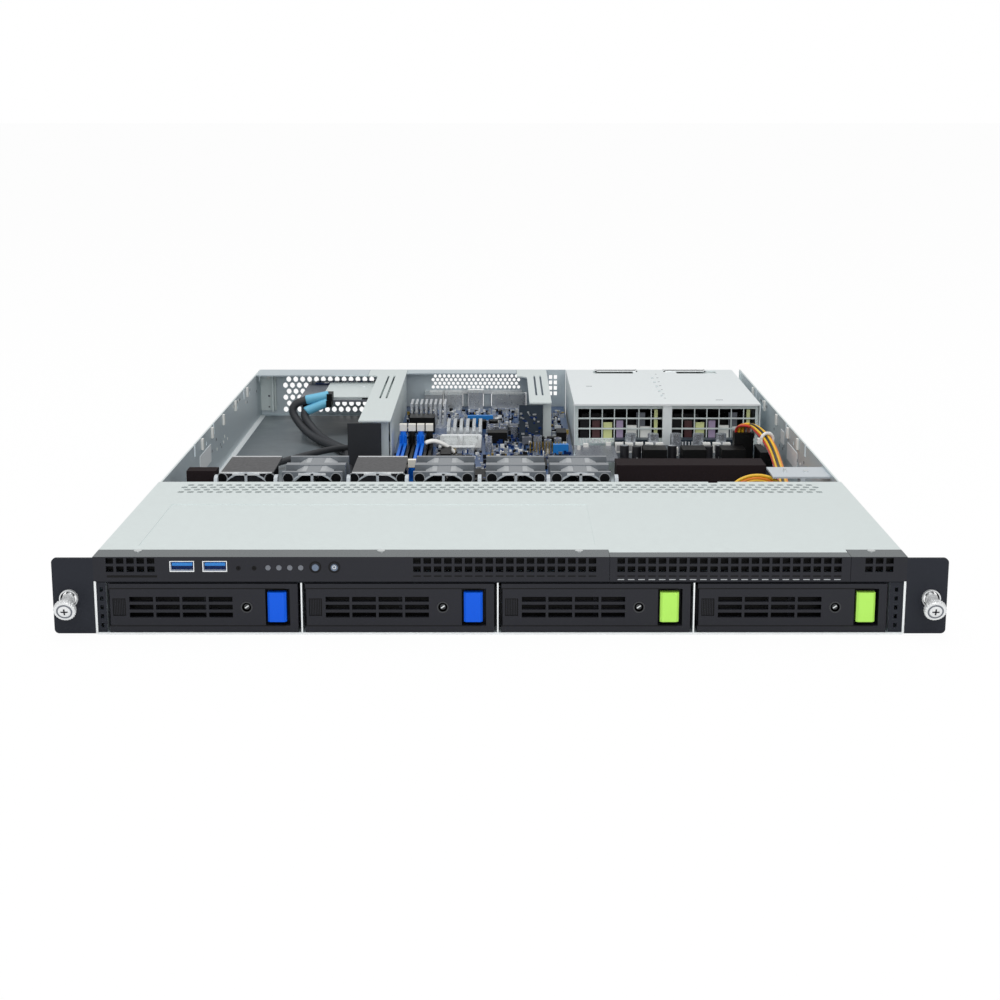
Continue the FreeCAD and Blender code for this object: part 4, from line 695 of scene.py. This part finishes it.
# ---- parts on the mainboard
SMALL_PARTS = (                  # finish and how many
    ("silver", "tin_plate", 560), ("dark", "black_epoxy", 500), ("pale", "white_nylon", 200),
    ("blue", "navy_nylon", 160), ("tan", "gold_plate", 80))
TRACK = (0.35, 0.03)             # width and thickness
BUILT_UP = ((-80, 320, -51, 478), (-50, 465, -13, 524), (-77, 526, -14, 604), (-70, 665, 26, 694))  # no ground free
CAPACITORS = (                   # (x, y, radius, tall)
    (-52, 492, 2.6, 8), (-52, 500, 2.6, 8), (-9, 470, 2.6, 8), (-9, 478, 2.6, 8), (-9, 486, 2.6, 8), (-9, 494, 2.6, 8),
    (-7, 533, 3.4, 9), (-7, 542, 3.4, 9), (4, 542, 3.0, 9), (2, 527, 3.0, 9), (12, 534, 3.0, 9), (30, 475.5, 3.4, 12),
    (38, 470, 3.0, 10), (46, 476, 3.0, 10))
BOARD_PARTS = (                  # name, finish and rows of (x1, y1, x2, y2, tall)
    ("coils", "lamp_pipe", [(x, y, x + 7, y + 7, 5) for x in (-8, 0, 8) for y in (553, 563)] + [(18, 500, 26, 506, 6)]),
    ("chips", "black_epoxy", [(18, 530, 31, 541, 9.5), (36, 512, 44, 524, 2), (42, 440, 54, 452, 1.6),
                              (10, 440, 22, 452, 1.6), (-44, 440, -30, 454, 2)]),
    ("blue_sockets", "usb_blue", [(20, 565, 34, 571, 12), (42, 458, 54, 464, 8), (-28, 596, -6, 601, 7)]),
    ("headers", "black_nylon", [(26, 489, 36, 495, 8), (38, 489, 48, 495, 8), (46, 500, 54, 520, 10)]))


def make_board_parts():
    """Small parts strewn over the mainboard's free ground, its fine tracks, capacitors, coils, pins and short leads."""
    low, high = extent("motherboard")
    z = BOARD_TOP
    rng = np.random.default_rng(11)
    count = sum(number for *_, number in SMALL_PARTS)
    spots = []
    while len(spots) < count:
        x, y = rng.uniform(low[0] + 3, high[0] - 3), rng.uniform(low[1] + 3, 664)
        if not any(a < x < c and b < y < d for a, b, c, d in BUILT_UP):
            spots.append((x, y))
    sizes = np.stack([rng.uniform(least, 3.4, count) for least in (0.8, 0.8, 0.5)], 1)
    small = np.concatenate([spots, np.full((count, 1), z), spots + sizes[:, :2], z + sizes[:, 2:]], 1)
    for name, material, number in SMALL_PARTS:
        dress(f"board_small_{name}", material, blocks(small[:number]))
        small = small[number:]
    tracks = []
    wide, thick = TRACK
    for k in range(120):
        x, y = rng.uniform(low[0] + 4, high[0] - 30), rng.uniform(low[1] + 8, 640)
        long = rng.uniform(8, 28)
        tracks.append((x, y, x + long, y + wide, thick) if k % 2 else (x, y, x + wide, y + long, thick))
    dress("board_tracks", "dark_solder_mask", standing(tracks), slot="circuit_board")
    dress("board_capacitors", "capacitor_can", studs([(x, y, z, r, tall) for x, y, r, tall in CAPACITORS], 20))
    dress("board_capacitor_tops", "navy_nylon",
          studs([(x, y, z + tall, r * 0.55, 0.12) for x, y, r, tall in CAPACITORS], 16))
    for name, material, rows in BOARD_PARTS:
        dress(f"board_{name}", material, standing(rows))
    pins = [(x, y, z, 0.35, 9.0) for x in np.arange(24, 53, 2.5) for y in (462, 465)]
    dress("board_pins", "gold_plate", studs(pins, 6))
    for k in range(3):
        route = [(-58, 443 + 3.4 * k, 21), (-53, 446 + 3 * k, 22.5), (-47, 448 + 3 * k, 20.5),
                 (-41, 450 + 2.4 * k, 17), (-36, 452 + 2 * k, 12)]
        lead(f"board_white_lead_{k + 1}", route, 1.2, "white_pvc", 8)
    (x1, y1, _), (x2, y2, top) = extent("cpu_socket")
    dress("socket_plate", "bright_metal_and_edge_highlight",
          standing([(x1 + 5, y1 + 2, x2 - 5, y1 + 4.5, 0.8), (x1 + 1, y2 - 5, x2 - 1, y2 - 2, 0.8)], top),
          slot="socket_metal")


CARD_TOP = 34.05


def make_riser_parts():
    """The film in front of each riser bracket, what is strewn on the right one, and the card's cover and contacts."""
    for n, (side, material, x1, x2) in enumerate((("left", "fan_blade", 0.6, 26.5),
                                                  ("right", "dark_solder_mask", 0.6, 20.0)), 1):
        low, high = extent(f"{side}_riser_bracket")
        dress(f"riser_flap_{n}", material,
              blocks([(low[0] + x1, low[1] - 0.5, low[2] + 1, low[0] + x2, low[1] - 0.1, high[2] - 2.0)]), slot="film")
    x, y, _ = low
    rng = np.random.default_rng(3)
    limits = ((x + 1, x + 17), (11, 36), (0.8, 2.6), (0.6, 1.8), (0.4, 1.2))
    strewn = [(x, y - 0.5 - deep, z, x + wide, y - 0.5, z + tall)
              for x, z, wide, tall, deep in zip(*[rng.uniform(a, b, 34) for a, b in limits])]
    dress("riser_small_silver", "tin_plate", blocks(strewn[::2]))
    dress("riser_small_blue", "navy_nylon", blocks(strewn[1::2]))
    z = CARD_TOP
    dress("card_cover", "galvanised_sheet", standing([(-152, 583, -87, 664, 0.8)], z), slot="zinc_sheet")
    dress("card_strip", "navy_nylon", blocks([(-166, 664.5, z - 1, -87, 681, z - 0.4)]), slot="circuit_board")
    dress("card_pads", "white_nylon",
          blocks([(-158 + 8.6 * k, 667, z - 0.4, -154 + 8.6 * k, 674, z + 0.2) for k in range(8)]))
    dress("card_post_rings", "bright_metal_and_edge_highlight", studs([(-120, 640, z + 0.8, 1.6, 0.3), (-96, 600, z + 0.8, 1.6, 0.3)], 12),
          slot="plated_screw")


# ---- the walls' small parts
TAB_YS = (352, 398, 455, 520, 590)
DOT = (1.2, 0.25)                # radius and height of a rivet


def make_wall_parts():
    """The folded corner, the seam along the floor and patches on the side walls in painted highlight, hanging tabs, and
    dark holes and rivets in the side walls.
    """
    wall = extent("chassis_base")[1][0] - SHEET
    patches = [(-wall, 344, 17, -wall + 0.4, 394, 30), (wall - 0.4, 357, 17, wall, 403, 30),
               (wall - 0.4, 420, 24, wall, 436, 34)]
    rng = np.random.default_rng(8)
    dots = []
    for side in (-1, 1):
        ys = np.concatenate([np.arange(513, 556, 5.0), rng.uniform(310, 660, 16)])
        zs = np.concatenate([np.full(9, 38.0), rng.uniform(14, 38, 16)])
        x = side * wall - (DOT[1] if side > 0 else 0)
        dots += [(x, y, z, *DOT) for y, z in zip(ys, zs)]
    tabs = [(x, y, 33.5, x + 1.5, y + 4.5, 41.5) for y in TAB_YS for x in (0.1 - wall, wall - 1.6)]
    rail_y = extent("rear_panel")[1][1] - 4.4
    for name, material, shape in (
            ("corner_flange", "galvanised_sheet", blocks([(-wall, 685.6, 5.7, -204, 686.8, 42.2),
                                                          (-206.6, 676, 5.7, -205.4, 685.6, 42.2)])),
            ("corner_hole", "white_nylon", studs([(-210.5, 685.3, 36, 1.7, 0.4)], 16, 1)),
            ("corner_rivet", "lamp_pipe", studs([(-210.5, 685.2, 19, 1.0, 0.5), (-210.5, 685.2, 9, 0.8, 0.5)], 12, 1)),
            # the floor's seam and the wall patches in the lighter copy of the sheet: painted highlight
            ("floor_seam", "bright_metal_and_edge_highlight", blocks([(-wall, 302, 1.2, -213.4, 680, 1.95)])),
            ("wall_highlight_patches", "bright_metal_and_edge_highlight", blocks(patches)),
            ("wall_dots", "white_nylon", studs(dots[::3], 10, 0)),
            ("wall_holes", "lamp_pipe", studs([dot for k, dot in enumerate(dots) if k % 3], 10, 0)),
            ("wall_tabs", "white_nylon", blocks(tabs)),
            ("mesh_rail", "bright_metal_and_edge_highlight", blocks([(-64.0, rail_y, 22.6, 20.0, rail_y + 3.0, 24.2),
                                                 (-66.0, rail_y, 21.0, 22.0, rail_y + 0.8, 22.4)]))):
        dress(name, material, shape, slot="zinc_sheet")
    dress("bracket_screw", "zinc_screw", studs([(204, 240, 40.5, 1.8, 1.0), (190, 240, 40.5, 1.2, 2.4)], 14),
          slot="plated_screw")


# ---- leads and looms
def lead(name, route, radius, material, sides=12):
    """A sleeve carried along the spline of its route."""
    return dress(name, material, hose(spline(route), radius, sides), slot="cable_sleeve", smooth=True)


def make_leads():
    """Two sleeved leads with pale blue boots, from the card's plug over the floor to the mainboard's edge, and two
    more beside them, gathered in a tie."""
    film = extent("floor_insulator")[1][2]
    routes = (
        [(-143, 562, 40), (-152, 561, 38), (-164, 560, 36), (-172, 559, 33.5), (-175.5, 558, 28), (-172, 556, 21),
         (-164, 550, 12), (-152, 534, film + 5), (-136, 512, film + 4), (-120, 482, film + 3.6),
         (-115, 400, film + 3.6), (-110, 330, film + 3.6), (-99, 306, film + 6), (-85.6, 306.5, 12.8)],
        [(-144, 560, 34.5), (-151, 559, 32), (-159, 558, 28.5), (-165, 557, 26.5), (-164, 555, 21), (-156, 548, 13),
         (-146, 532, film + 5), (-128, 503, film + 4), (-110, 474, film + 3.6), (-106, 400, film + 3.6),
         (-104, 336, film + 3.6), (-97, 320, film + 6), (-85.6, 316.5, 12.8)],
    )
    first, _ = [lead(f"sleeved_lead_{n}", route, 3.3, "braided_sleeve") for n, route in enumerate(routes, 1)]
    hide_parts("signal_cables")
    for n, route in enumerate(routes, 1):
        dense = spline(route, 24)
        walked = np.concatenate([[0], np.cumsum(np.linalg.norm(np.diff(dense, axis=0), axis=1))])
        path = dense[(walked > 1) & (walked < 21)]
        shape = np.interp(np.linspace(0, 1, len(path)), (0, 0.06, 0.94, 1), (3.4, 4.0, 4.0, 3.5))
        dress(f"lead_boot_{n}", "sky_sleeve", hose(path, shape, 20), slot="cable_sleeve", smooth=True)
    dress("lead_ends", "black_nylon", blocks([(-145.5, 557, 36, -141, 572, 41.5),
                                              (-146, 555.5, 30.5, -141.5, 572, 35.9)]), slot="cable_sleeve")
    route = [(-204, 284, 8), (-203, 320, 5), (-200, 370, 4.6), (-190, 415, 5), (-170, 443, 7), (-150, 456, 10),
             (-134, 474, 11), (-118, 488, 9), (-108, 494, 8)]
    lead("sleeved_lead_3", route, 2.6, "braided_sleeve")
    route = [(-112, 489, 7), (-104, 500, 13), (-98, 510, 20), (-92, 520, 15), (-90, 528, 8)]
    lead("sleeved_lead_4", route, 2.4, "black_pvc")
    dress("lead_tie", "grey_pvc", blocks([(-117, 486, 1.9, -104, 494, 13)]), slot="cable_sleeve")


LOOM_COLOURS = ("red", "orange", "yellow", "black", "yellow", "red", "grey", "orange", "pink", "white")
ARCH_WIRES = (("yellow", 0.0), ("orange", 1.9), ("yellow", 3.4), ("orange", 5.0))  # and how far each lies inside
LOOM_X, LOOM_Y = 189.4, 437.8    # middle of the power board's tall header


def make_loom():
    """Ten coloured wires from the power board's tall header, tied once, that run down the right wall to the backplane,
    and four more that arch over in front of the foam."""
    for n, colour in enumerate(LOOM_COLOURS):
        a = 2 * math.pi * n / len(LOOM_COLOURS)
        fan = n - 4.5
        dx, dz = 2.8 * math.cos(a), 2.8 * math.sin(a)
        x, y = LOOM_X + 1.3 * fan, LOOM_Y + 3 * (n % 2)
        route = [(x, y + 4.5, 30.2), (x, y + 4, 34 + 0.2 * n), (192 + 1.0 * fan, LOOM_Y - 6, 38 + 0.6 * dz),
                 (197 + dx, 420, 36.5 + dz), (202 + dx, 402, 32 + dz), (204.5 + dx, 384, 26 + dz),
                 (204 + dx, 360, 22 + dz), (200 + dx, 313, 21 + dz), (197.3 + dx, 278, 20 + dz),
                 (192.3 + dx, 240, 17.5 + dz), (184 + 0.8 * dx, 210, 10 + 0.5 * dz), (180 + 0.8 * fan, 200, 9.8),
                 (180 + 0.8 * fan, 189.5, 9.5)]
        wire = lead(f"loom_wire_{n + 1}", route, 0.95, f"{colour}_pvc", 8)
        if n == 0:
            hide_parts("wire_harness")
    turn = np.linspace(0, 2 * math.pi, 25)
    tie = np.stack([202 + 4.6 * np.cos(turn), 402 + 1.5 * np.cos(turn), 32 + 4.8 * np.sin(turn)], 1)
    dress("loom_tie", "white_pvc", hose(tie, 1.3, 8), blocks([(194.5, 400, 29, 198.5, 404, 33)]), slot="cable_sleeve")
    for n, (colour, drop) in enumerate(ARCH_WIRES):
        route = [(146 + drop, 230, 8), (148 + drop, 231, 24 - drop), (156 + 0.5 * drop, 233, 36.4 - drop),
                 (170, 234 - 0.3 * n, 40.6 - drop), (183 - 0.4 * drop, 234, 37.5 - drop),
                 (192 - drop, 232, 28 - drop), (195 - drop, 226, 14), (190, 214, 9)]
        lead(f"arch_wire_{n + 1}", route, 1.05, f"{colour}_pvc", 10)


# ---- rack screws
SCREW_DROOP = 20.0               # degrees that the loose screw hangs down
SCREW_LIFT = 20.45               # height of the screw's pivot in its collar
KNOB = ((-11.8, 3.7), (-11.8, 5.5), (-11.3, 6.05), (-9.0, 6.05), (-8.7, 5.7), (-8.7, 3.6))
NECK = ((-8.7, 3.6), (-7.4, 3.6), (-7.1, 3.3), (-6.3, 3.3), (-6.0, 3.6), (-0.3, 3.6), (-0.1, 3.3), (-0.1, 2.4))
HEAD = ((-11.8, 3.6), (-12.0, 3.4), (-12.2, 2.8), (-12.3, 1.4), (-12.3, 0.02))


def lathe(profile, turns=48):
    """A profile of (distance along Y, radius) turned about the Y axis, with a flat face on either end."""
    profile = np.asarray(profile, float)
    turn = around(turns)
    points = np.stack([profile[:, 1, None] * np.cos(turn), np.broadcast_to(profile[:, 0, None], (len(profile), turns)),
                       profile[:, 1, None] * np.sin(turn)], 2)
    *quads, first, last = tube_faces(len(profile), turns)
    return points.reshape(-1, 3), [(a, d, c, b) for a, b, c, d in quads] + [first[::-1], last[::-1]]


def ribbed(profile, first, last, ribs=24, depth=0.25, turns=96):
    """The same with the rings from first to last fluted: their radius falls by depth at every rib."""
    points, faces = lathe(profile, turns)
    grid = points.reshape(len(profile), turns, 3)
    radii = np.maximum(np.asarray(profile)[first:last + 1, 1], 1)[:, None, None]
    groove = (np.arange(turns) % (turns // ribs) < turns // ribs / 2)[None, :, None]
    grid[first:last + 1, :, 0::2] *= 1 - depth * groove / radii
    return grid.reshape(-1, 3), faces


def tilt(shape, degrees, at):
    """Turns a shape about the X axis and moves it to a place."""
    points, faces = shape
    a = math.radians(degrees)
    x, y, z = np.asarray(points, float).T
    return np.stack([x, y * math.cos(a) - z * math.sin(a), y * math.sin(a) + z * math.cos(a)], 1) + at, faces


def make_rack_screws():
    """Each loose captive screw: a ribbed knob, a pan head with a cross, a grooved neck and a threaded end."""
    thread = [(-0.1, 2.0)] + [(y, 2.4 if k % 2 else 1.95) for k, y in enumerate(np.arange(0, 8.0, 0.4))] + [(8.0, 1.7)]
    body = merge(ribbed(KNOB, 2, 3), lathe(NECK), lathe(HEAD), lathe(thread, 24))
    cross = blocks([(-1.9, -12.36, -0.42, 1.9, -12.26, 0.42), (-0.42, -12.36, -1.9, 0.42, -12.26, 1.9)])
    for side, name in ((-1, "left"), (1, "right")):
        at = np.array((side * (extent("ear_ferrules")[1][0] - 5.0), -1.0, SCREW_LIFT))
        screw, *_ = [dress(f"{name}_{part}", material, tilt(shape, SCREW_DROOP, at), body=f"{name}_screw_body",
                           slot="plated_screw")
                     for part, material, shape in (
                         ("rack_screw", "nickel_plate", body),
                         ("screw_groove", "lamp_pipe", rings([(0, -12.0, 0, 3.5, 4.3, 0.3)])),
                         ("screw_cross", "black_abs", cross))]
        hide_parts(f"{name}_screw")


# ---- memory sockets
def make_memory_sockets():
    """Four sockets, blue and black by turns, with a contact slot and a white-tipped lever at each end."""
    low, high = extent("dimm_sockets")
    board = extent("motherboard")[1][2]
    y1, y2 = low[1] + 5, high[1] - 5
    for n, x in enumerate(np.linspace(low[0] + 2.9, high[0] - 2.9, 4)):
        colour = "black_nylon" if n % 2 else "blue_nylon"
        body = [(x - 2.9, y1, x - 0.8, y2, 8), (x + 0.8, y1, x + 2.9, y2, 8), (x - 0.8, y1, x + 0.8, y2, 2),
                (x - 0.8, y1, x + 0.8, y1 + 6, 8), (x - 0.8, y2 - 6, x + 0.8, y2, 8)]
        cheeks, levers, tips = [], [], []
        for y, way in ((y1, -1), (y2, 1)):
            near, far = sorted((y, y - way * 6))
            cheeks += [(x - 2.9, near, x - 1.7, far, 6), (x + 1.7, near, x + 2.9, far, 6)]
            path = [(x, y - way * 3, board + 7), (x, y - way * 0.5, board + 12), (x, y + way * 1.2, board + 16.5),
                    (x, y + way * 1.0, board + 18)]
            levers.append(hose(path, (2.2, 2.5, 2.7, 2.7), 8))
            near, far = sorted((y - way * 1.5, y + way * 3.5))
            tips.append((x - 2.9, near, x + 2.9, far, 5.4))
        socket = dress(f"memory_socket_{n + 1}", colour, standing(body, board), standing(cheeks, board + 8),
                       slot="slot_blue")
        if n == 0:
            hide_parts("dimm_sockets")
        dress(f"memory_lever_{n + 1}", colour, *levers, slot="slot_blue")
        dress(f"memory_tip_{n + 1}", "ivory_nylon", standing(tips, board + 17.0), slot="slot_blue")


# ---- rear wall
MESHES = (                       # field, rows, pitch and hole's radius
    ((-199.5, 3.3, -110.0, 36.6), 6, 6.3, 2.65), ((-64.0, 25.0, 20.0, 38.4), 4, 4.1, 1.75))
PORT_GAP = 0.3                   # round a port
FOLD_GAP = 0.3                   # beside a riser bracket
SQUARES = ((44.6, 49.0), (19.0, 24.0, 29.0, 34.0), 3.0, 3.6)  # left edges, feet, width and height of square windows


def hexagon_rim(radius):
    """Eight points of a hexagon with corners above and below: its edge is at cos 30 / cos(angle from mid-side)."""
    turn = around(8)
    off = np.mod(turn + math.pi / 6, math.pi / 3) - math.pi / 6
    reach = radius * math.cos(math.pi / 6) / np.cos(off)
    return np.stack([reach * np.cos(turn), reach * np.sin(turn)], 1)


def make_rear_wall():
    """The rear wall with its two fine hexagonal meshes, the windows and the folded top strips."""
    (left, strip, bottom), (right, outer, top) = extent("rear_panel")
    inner = outer - SHEET
    foot = extent("rear_io_ports")[0][2]
    windows = [(x - 8 - PORT_GAP, foot - PORT_GAP, x + 8 + PORT_GAP, foot + 13.6 + PORT_GAP) for x in (-60.0, -42.0)]
    windows += [(-29.0, foot - PORT_GAP, -15.0, foot + 15.6), (-8.0, foot - PORT_GAP, 24.0, foot + 12.6)]
    xs, zs, wide, tall = SQUARES
    windows += [(x, z, x + wide, z + tall) for x in xs for z in zs]
    windows += [field for field, *_ in MESHES]
    parts = [windowed_sheet((left, bottom, right, top), windows, inner, outer)]
    parts += [pierced_band(field, rows, pitch, hexagon_rim(hole), inner, outer, "xz")
              for field, rows, pitch, hole in MESHES]
    (left_1, *_), (left_2, *_) = extent("left_riser_bracket")
    folds = [(left, strip, top - SHEET, left_1 - FOLD_GAP, inner, top),
             (left_2 + FOLD_GAP, strip + 12, top - SHEET, extent("right_riser_bracket")[0][0] - FOLD_GAP, inner, top)]
    # the rear wall takes the darker copy of the galvanised sheet: painted shade
    wall = dress("rear_wall", "galvanised_painted_shade", *parts, blocks(folds), slot="zinc_sheet")
    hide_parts("rear_panel")


# ---- the stage
CAMERA_HEIGHT = 0.284
CAMERA_BACK = 0.93659            # in front of the ears' front plane
CAMERA_DOWN = 12.589             # degrees below level
CAMERA_LENS = 64.8
FLOOR_HALF = 20.0
FLOOR_GAP = 0.0002               # below the part
PAPER_GLOW = 0.96                # how much of its look in the camera is even white


def lamp(name, at, aim, size, power):
    """A square soft lamp at a point, turned towards another."""
    light = bpy.data.lights.new(name, "AREA")
    light.size = size
    light.energy = power
    thing = link(name, light)
    thing.location = at
    thing.rotation_euler = (Vector(aim) - Vector(at)).to_track_quat("-Z", "Y").to_euler()


def make_stage(level):
    """The camera, an even white room that looks white and lights at the given level, a paper floor and two lamps."""
    scene = bpy.context.scene
    scene.view_settings.view_transform = "Standard"
    camera = bpy.data.cameras.new("camera")
    camera.lens = CAMERA_LENS
    camera.sensor_width = 36
    camera.clip_start = 0.01
    eye = link("camera", camera)
    eye.location = (0, FRONT_Y / 1000 - CAMERA_BACK, CAMERA_HEIGHT)
    eye.rotation_euler = (math.radians(90 - CAMERA_DOWN), 0, 0)
    scene.camera = eye

    world = bpy.data.worlds.new("studio")
    world.use_nodes = True
    tree = world.node_tree
    ray = add(tree, "ShaderNodeLightPath")
    seen = add(tree, "ShaderNodeMath", [(0, ray.outputs["Is Camera Ray"]), (1, ray.outputs["Is Transmission Ray"])],
               operation="MAXIMUM")
    strength = add(tree, "ShaderNodeMapRange", [("Value", seen.outputs["Value"])], To_Min=level, To_Max=1.0)
    background = tree.nodes["Background"]
    background.inputs["Color"].default_value = (1, 1, 1, 1)
    tree.links.new(strength.outputs["Result"], background.inputs["Strength"])
    scene.world = world

    points = FLOOR_HALF * np.array([(-1, -1, 0), (1, -1, 0), (1, 1, 0), (-1, 1, 0)])
    mesh = bpy.data.meshes.new("floor")
    mesh.from_pydata((points + (0, 0, CAD_BOUNDS[0][2] - FLOOR_GAP)).tolist(), [], [(0, 1, 2, 3)])
    material = bpy.data.materials.new("white_backdrop_paper")
    material.use_nodes = True
    tree = material.node_tree
    shader = tree.nodes["Principled BSDF"]
    shader.inputs["Base Color"].default_value = linear("#fbfbfb")
    shader.inputs["Roughness"].default_value = 0.9
    ray = add(tree, "ShaderNodeLightPath")
    glow = add(tree, "ShaderNodeEmission", Strength=1.0)
    mix = add(tree, "ShaderNodeMixShader", [(1, shader.outputs["BSDF"]), (2, glow.outputs["Emission"])])
    share = add(tree, "ShaderNodeMath", [(0, ray.outputs["Is Camera Ray"])], operation="MULTIPLY")
    share.inputs[1].default_value = PAPER_GLOW
    tree.links.new(share.outputs["Value"], mix.inputs["Fac"])
    tree.links.new(mix.outputs["Shader"], tree.nodes["Material Output"].inputs["Surface"])
    mesh.materials.append(material)
    link("floor", mesh)
    lamp("top_softbox", (-0.2, -0.2, 1.9), (0, 0.0, 0), 2.2, 22)
    lamp("front_softbox", (0.3, -2.2, 0.9), (0, -0.3, 0.05), 1.4, 12)


# ---- operators and panel
class ServerSettings(bpy.types.PropertyGroup):
    """Sizes and levels that a user would change."""
    slot_pitch: bpy.props.FloatProperty(name="Slot pitch", description="Distance between the lid's slots, millimetres",
                                        default=6.05, min=2.0, max=20.0)
    room_light: bpy.props.FloatProperty(name="Room light", description="Strength of the even light around the part",
                                        default=0.55, min=0.0, max=2.0)


def build(*makers):
    """Calls what an operator makes in order, and says that it's done."""
    for make in makers:
        make()
    return {"FINISHED"}


class SERVER_OT_finishes(bpy.types.Operator):
    """Makes every finish and gives the CAD pieces theirs"""
    bl_idname = "server.finishes"
    bl_label = "Finishes"

    def execute(self, context):
        return build(make_finishes, paint_nodes)


class SERVER_OT_lid(bpy.types.Operator):
    """Adds the front lid with its band of slots"""
    bl_idname = "server.lid"
    bl_label = "Front lid"

    def execute(self, context):
        make_lid(context.scene.server_settings.slot_pitch)
        return {"FINISHED"}


class SERVER_OT_front(bpy.types.Operator):
    """Adds the small parts of the front"""
    bl_idname = "server.front"
    bl_label = "Front parts"

    def execute(self, context):
        return build(make_front, make_tray_parts)


class SERVER_OT_fans(bpy.types.Operator):
    """Adds the guards, rubber corners and saddles of the fan row"""
    bl_idname = "server.fans"
    bl_label = "Fan row parts"

    def execute(self, context):
        return build(make_fan_parts)


class SERVER_OT_power(bpy.types.Operator):
    """Adds what is seen in the supplies and on the power board"""
    bl_idname = "server.power"
    bl_label = "Supply and power board parts"

    def execute(self, context):
        return build(make_supply_parts, make_power_parts)


class SERVER_OT_board(bpy.types.Operator):
    """Adds the small parts of the mainboard and the card"""
    bl_idname = "server.board"
    bl_label = "Mainboard parts"

    def execute(self, context):
        return build(make_board_parts, make_riser_parts)


class SERVER_OT_walls(bpy.types.Operator):
    """Adds folds, tabs, holes and rivets to the walls"""
    bl_idname = "server.walls"
    bl_label = "Wall parts"

    def execute(self, context):
        return build(make_wall_parts)


class SERVER_OT_leads(bpy.types.Operator):
    """Adds the sleeved leads and the coloured loom"""
    bl_idname = "server.leads"
    bl_label = "Leads and loom"

    def execute(self, context):
        return build(make_leads, make_loom)


class SERVER_OT_rack_screws(bpy.types.Operator):
    """Adds the two loose rack screws"""
    bl_idname = "server.rack_screws"
    bl_label = "Rack screws"

    def execute(self, context):
        return build(make_rack_screws)


class SERVER_OT_memory_sockets(bpy.types.Operator):
    """Adds the four memory sockets with their levers"""
    bl_idname = "server.memory_sockets"
    bl_label = "Memory sockets"

    def execute(self, context):
        return build(make_memory_sockets)


class SERVER_OT_rear_wall(bpy.types.Operator):
    """Adds the rear wall with its fine meshes"""
    bl_idname = "server.rear_wall"
    bl_label = "Rear wall"

    def execute(self, context):
        return build(make_rear_wall)


class SERVER_OT_stage(bpy.types.Operator):
    """Adds the camera, the soft light and the pale floor"""
    bl_idname = "server.stage"
    bl_label = "Stage"

    def execute(self, context):
        make_stage(context.scene.server_settings.room_light)
        return {"FINISHED"}


OPERATORS = (SERVER_OT_finishes, SERVER_OT_lid, SERVER_OT_front, SERVER_OT_fans, SERVER_OT_power, SERVER_OT_board,
             SERVER_OT_walls, SERVER_OT_leads, SERVER_OT_rack_screws, SERVER_OT_memory_sockets, SERVER_OT_rear_wall,
             SERVER_OT_stage)


class SERVER_PT_panel(bpy.types.Panel):
    """Lists the server's settings and pieces"""
    bl_idname = "SERVER_PT_panel"
    bl_label = "Rack Server"
    bl_space_type = "VIEW_3D"
    bl_region_type = "UI"
    bl_category = "Server"

    def draw(self, context):
        settings = context.scene.server_settings
        self.layout.prop(settings, "slot_pitch")
        self.layout.prop(settings, "room_light")
        for kind in OPERATORS:
            self.layout.operator(kind.bl_idname)


CLASSES = (ServerSettings,) + OPERATORS + (SERVER_PT_panel,)


def register():
    for kind in CLASSES:
        bpy.utils.register_class(kind)
    bpy.types.Scene.server_settings = bpy.props.PointerProperty(type=ServerSettings)


def unregister():
    del bpy.types.Scene.server_settings
    for kind in reversed(CLASSES):
        bpy.utils.unregister_class(kind)


def main():
    register()
    for kind in OPERATORS:
        group, name = kind.bl_idname.split(".")
        getattr(getattr(bpy.ops, group), name)()


if __name__ == "__main__":
    main()
